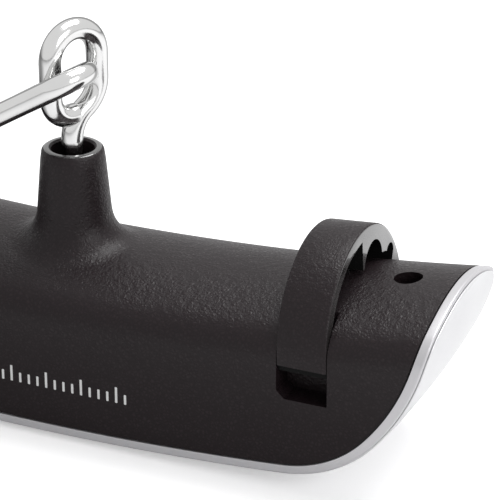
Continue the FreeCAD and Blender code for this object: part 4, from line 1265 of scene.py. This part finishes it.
@dataclass
class SideMarks:
    """A generic printed row on the near side: a plain graduated rule."""

    form: BodyForm = field(default_factory=BodyForm)
    start: float = -12.3 * MILLI
    pitch: float = 1.9 * MILLI
    count: int = 18
    low: float = 10.9 * MILLI
    thick: float = 0.02 * MILLI
    tall: float = 3.4 * MILLI
    short: float = 2.1 * MILLI
    wide: float = 0.5 * MILLI
    every: int = 4

    def build(self) -> None:
        """Make the marks as thin plates of ink that lie on the side wall."""
        side = -self.form.half_width
        made = None
        for index in range(self.count):
            tall = self.tall if index % self.every == 0 else self.short
            x = self.start + index * self.pitch
            outline = [(x + across, self.low + up + tall / 2)
                       for across, up in rounded_rectangle(self.wide, tall, 0.14 * MILLI, 3)]
            mark = prism("side_marks" if made is None else "mark", outline, "XZ", side - self.thick,
                         side + self.thick)
            if made is None:
                made = mark
                continue
            pick(made)
            mark.select_set(True)
            bpy.ops.object.join()
        present(made, HOUSING, INK)


# ---------------------------------------------------------------- studio

@dataclass
class Studio:
    """Camera, lamps, floor and world."""

    azimuth: float = math.radians(23.67)
    elevation: float = math.radians(25.3)
    distance: float = 0.4953
    target: Vector = field(default_factory=lambda: Vector((0.03764, 0.0, 0.0387)))
    lens: float = 186.1
    sensor: float = 36.0
    floor_half: float = 3.0
    ambient: float = 0.34
    gloss_light: float = 0.82

    @property
    def back(self) -> Vector:
        """The direction from the target to the camera."""
        flat = math.cos(self.elevation)
        return Vector((math.sin(self.azimuth) * flat, -math.cos(self.azimuth) * flat, math.sin(self.elevation)))

    def camera(self) -> None:
        """Place the camera and make it the scene's own."""
        data = bpy.data.cameras.new("camera")
        data.lens, data.sensor_width = self.lens, self.sensor
        data.clip_start, data.clip_end = 0.01, 20.0
        made = bpy.data.objects.new("camera", data)
        made.location = self.target + self.back * self.distance
        made.rotation_euler = (-self.back).to_track_quat("-Z", "Y").to_euler()
        bpy.context.scene.collection.objects.link(made)
        bpy.context.scene.camera = made

    def lamp(self, name: str, spot: Sequence[float], size: float, power: float, aim: Sequence[float]) -> None:
        """Hang one soft square lamp and aim it."""
        data = bpy.data.lights.new(name, "AREA")
        data.shape, data.size, data.energy = "SQUARE", size, power
        made = bpy.data.objects.new(name, data)
        made.location = spot
        made.rotation_euler = (Vector(aim) - Vector(spot)).to_track_quat("-Z", "Y").to_euler()
        bpy.context.scene.collection.objects.link(made)

    def seen_white(self, graph: Graph) -> bpy.types.NodeSocket:
        """One for rays from the camera and through glass, else zero."""
        path = graph.add("ShaderNodeLightPath")
        return graph.math("MAXIMUM", path.outputs["Is Camera Ray"], path.outputs["Is Transmission Ray"])

    def surround(self, graph: Graph) -> bpy.types.NodeSocket:
        """The surround's strength: full when seen, less in gloss, and dim as a plain light."""
        gloss = graph.math("MULTIPLY", graph.add("ShaderNodeLightPath").outputs["Is Glossy Ray"],
                           self.gloss_light - self.ambient)
        return graph.math("MAXIMUM", self.seen_white(graph), graph.math("ADD", gloss, self.ambient))

    def floor(self) -> None:
        """The plain pale floor, which keeps a soft shadow."""
        clear_selection()
        bpy.ops.mesh.primitive_plane_add(size=2 * self.floor_half, location=(0, 0, -0.0002))
        made = settle(bpy.context.object)
        made.name = "floor"
        material = bpy.data.materials.new("pale_floor")
        material.use_nodes = True
        material.node_tree.nodes.clear()
        graph = Graph(material.node_tree)
        matt = graph.add("ShaderNodeBsdfDiffuse", {"Color": (0.86, 0.86, 0.865, 1.0)})
        glow = graph.add("ShaderNodeEmission", {"Color": (1.0, 0.995, 1.0, 1.0),
                                                "Strength": graph.math("MULTIPLY", self.seen_white(graph), 0.42)})
        both = graph.add("ShaderNodeAddShader", {0: matt.outputs[0], 1: glow.outputs[0]})
        graph.add("ShaderNodeOutputMaterial", {"Surface": both.outputs[0]})
        made.data.materials.append(material)

    def world(self) -> None:
        """A white surround, dimmer as a light than it looks."""
        world = bpy.data.worlds.new("white_world")
        bpy.context.scene.world = world
        world.use_nodes = True
        world.node_tree.nodes.clear()
        graph = Graph(world.node_tree)
        light = graph.add("ShaderNodeBackground", {"Color": (1.0, 1.0, 1.0, 1.0), "Strength": self.surround(graph)})
        graph.add("ShaderNodeOutputWorld", {"Surface": light.outputs[0]})

    def build(self) -> None:
        """Set the whole studio."""
        self.camera()
        self.lamp("key", (0.15, 0.25, 0.85), 0.6, 8.0, (0.02, 0.0, 0.03))
        self.lamp("fill", (0.75, -0.3, 0.45), 0.4, 2.5, (0.03, 0.0, 0.03))
        self.floor()
        self.world()
        bpy.context.scene.view_settings.view_transform = "Standard"


def dress_cad_nodes() -> None:
    """Give every frame node that stays visible its own finish."""
    for name, finish in CAD_FINISHES.items():
        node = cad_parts[name]
        node.data.materials.clear()
        node.data.materials.append(finish.material())
        log.info("%s finished as %s", name, finish.name)


def main() -> None:
    """Build the studio and every sub-assembly in order."""
    logging.basicConfig(level=logging.INFO, format="%(message)s")
    Studio().build()
    dress_cad_nodes()
    Housing().build()
    WireParts().build()
    FaceParts().build()
    SideMarks().build()


if __name__ == "__main__":
    main()
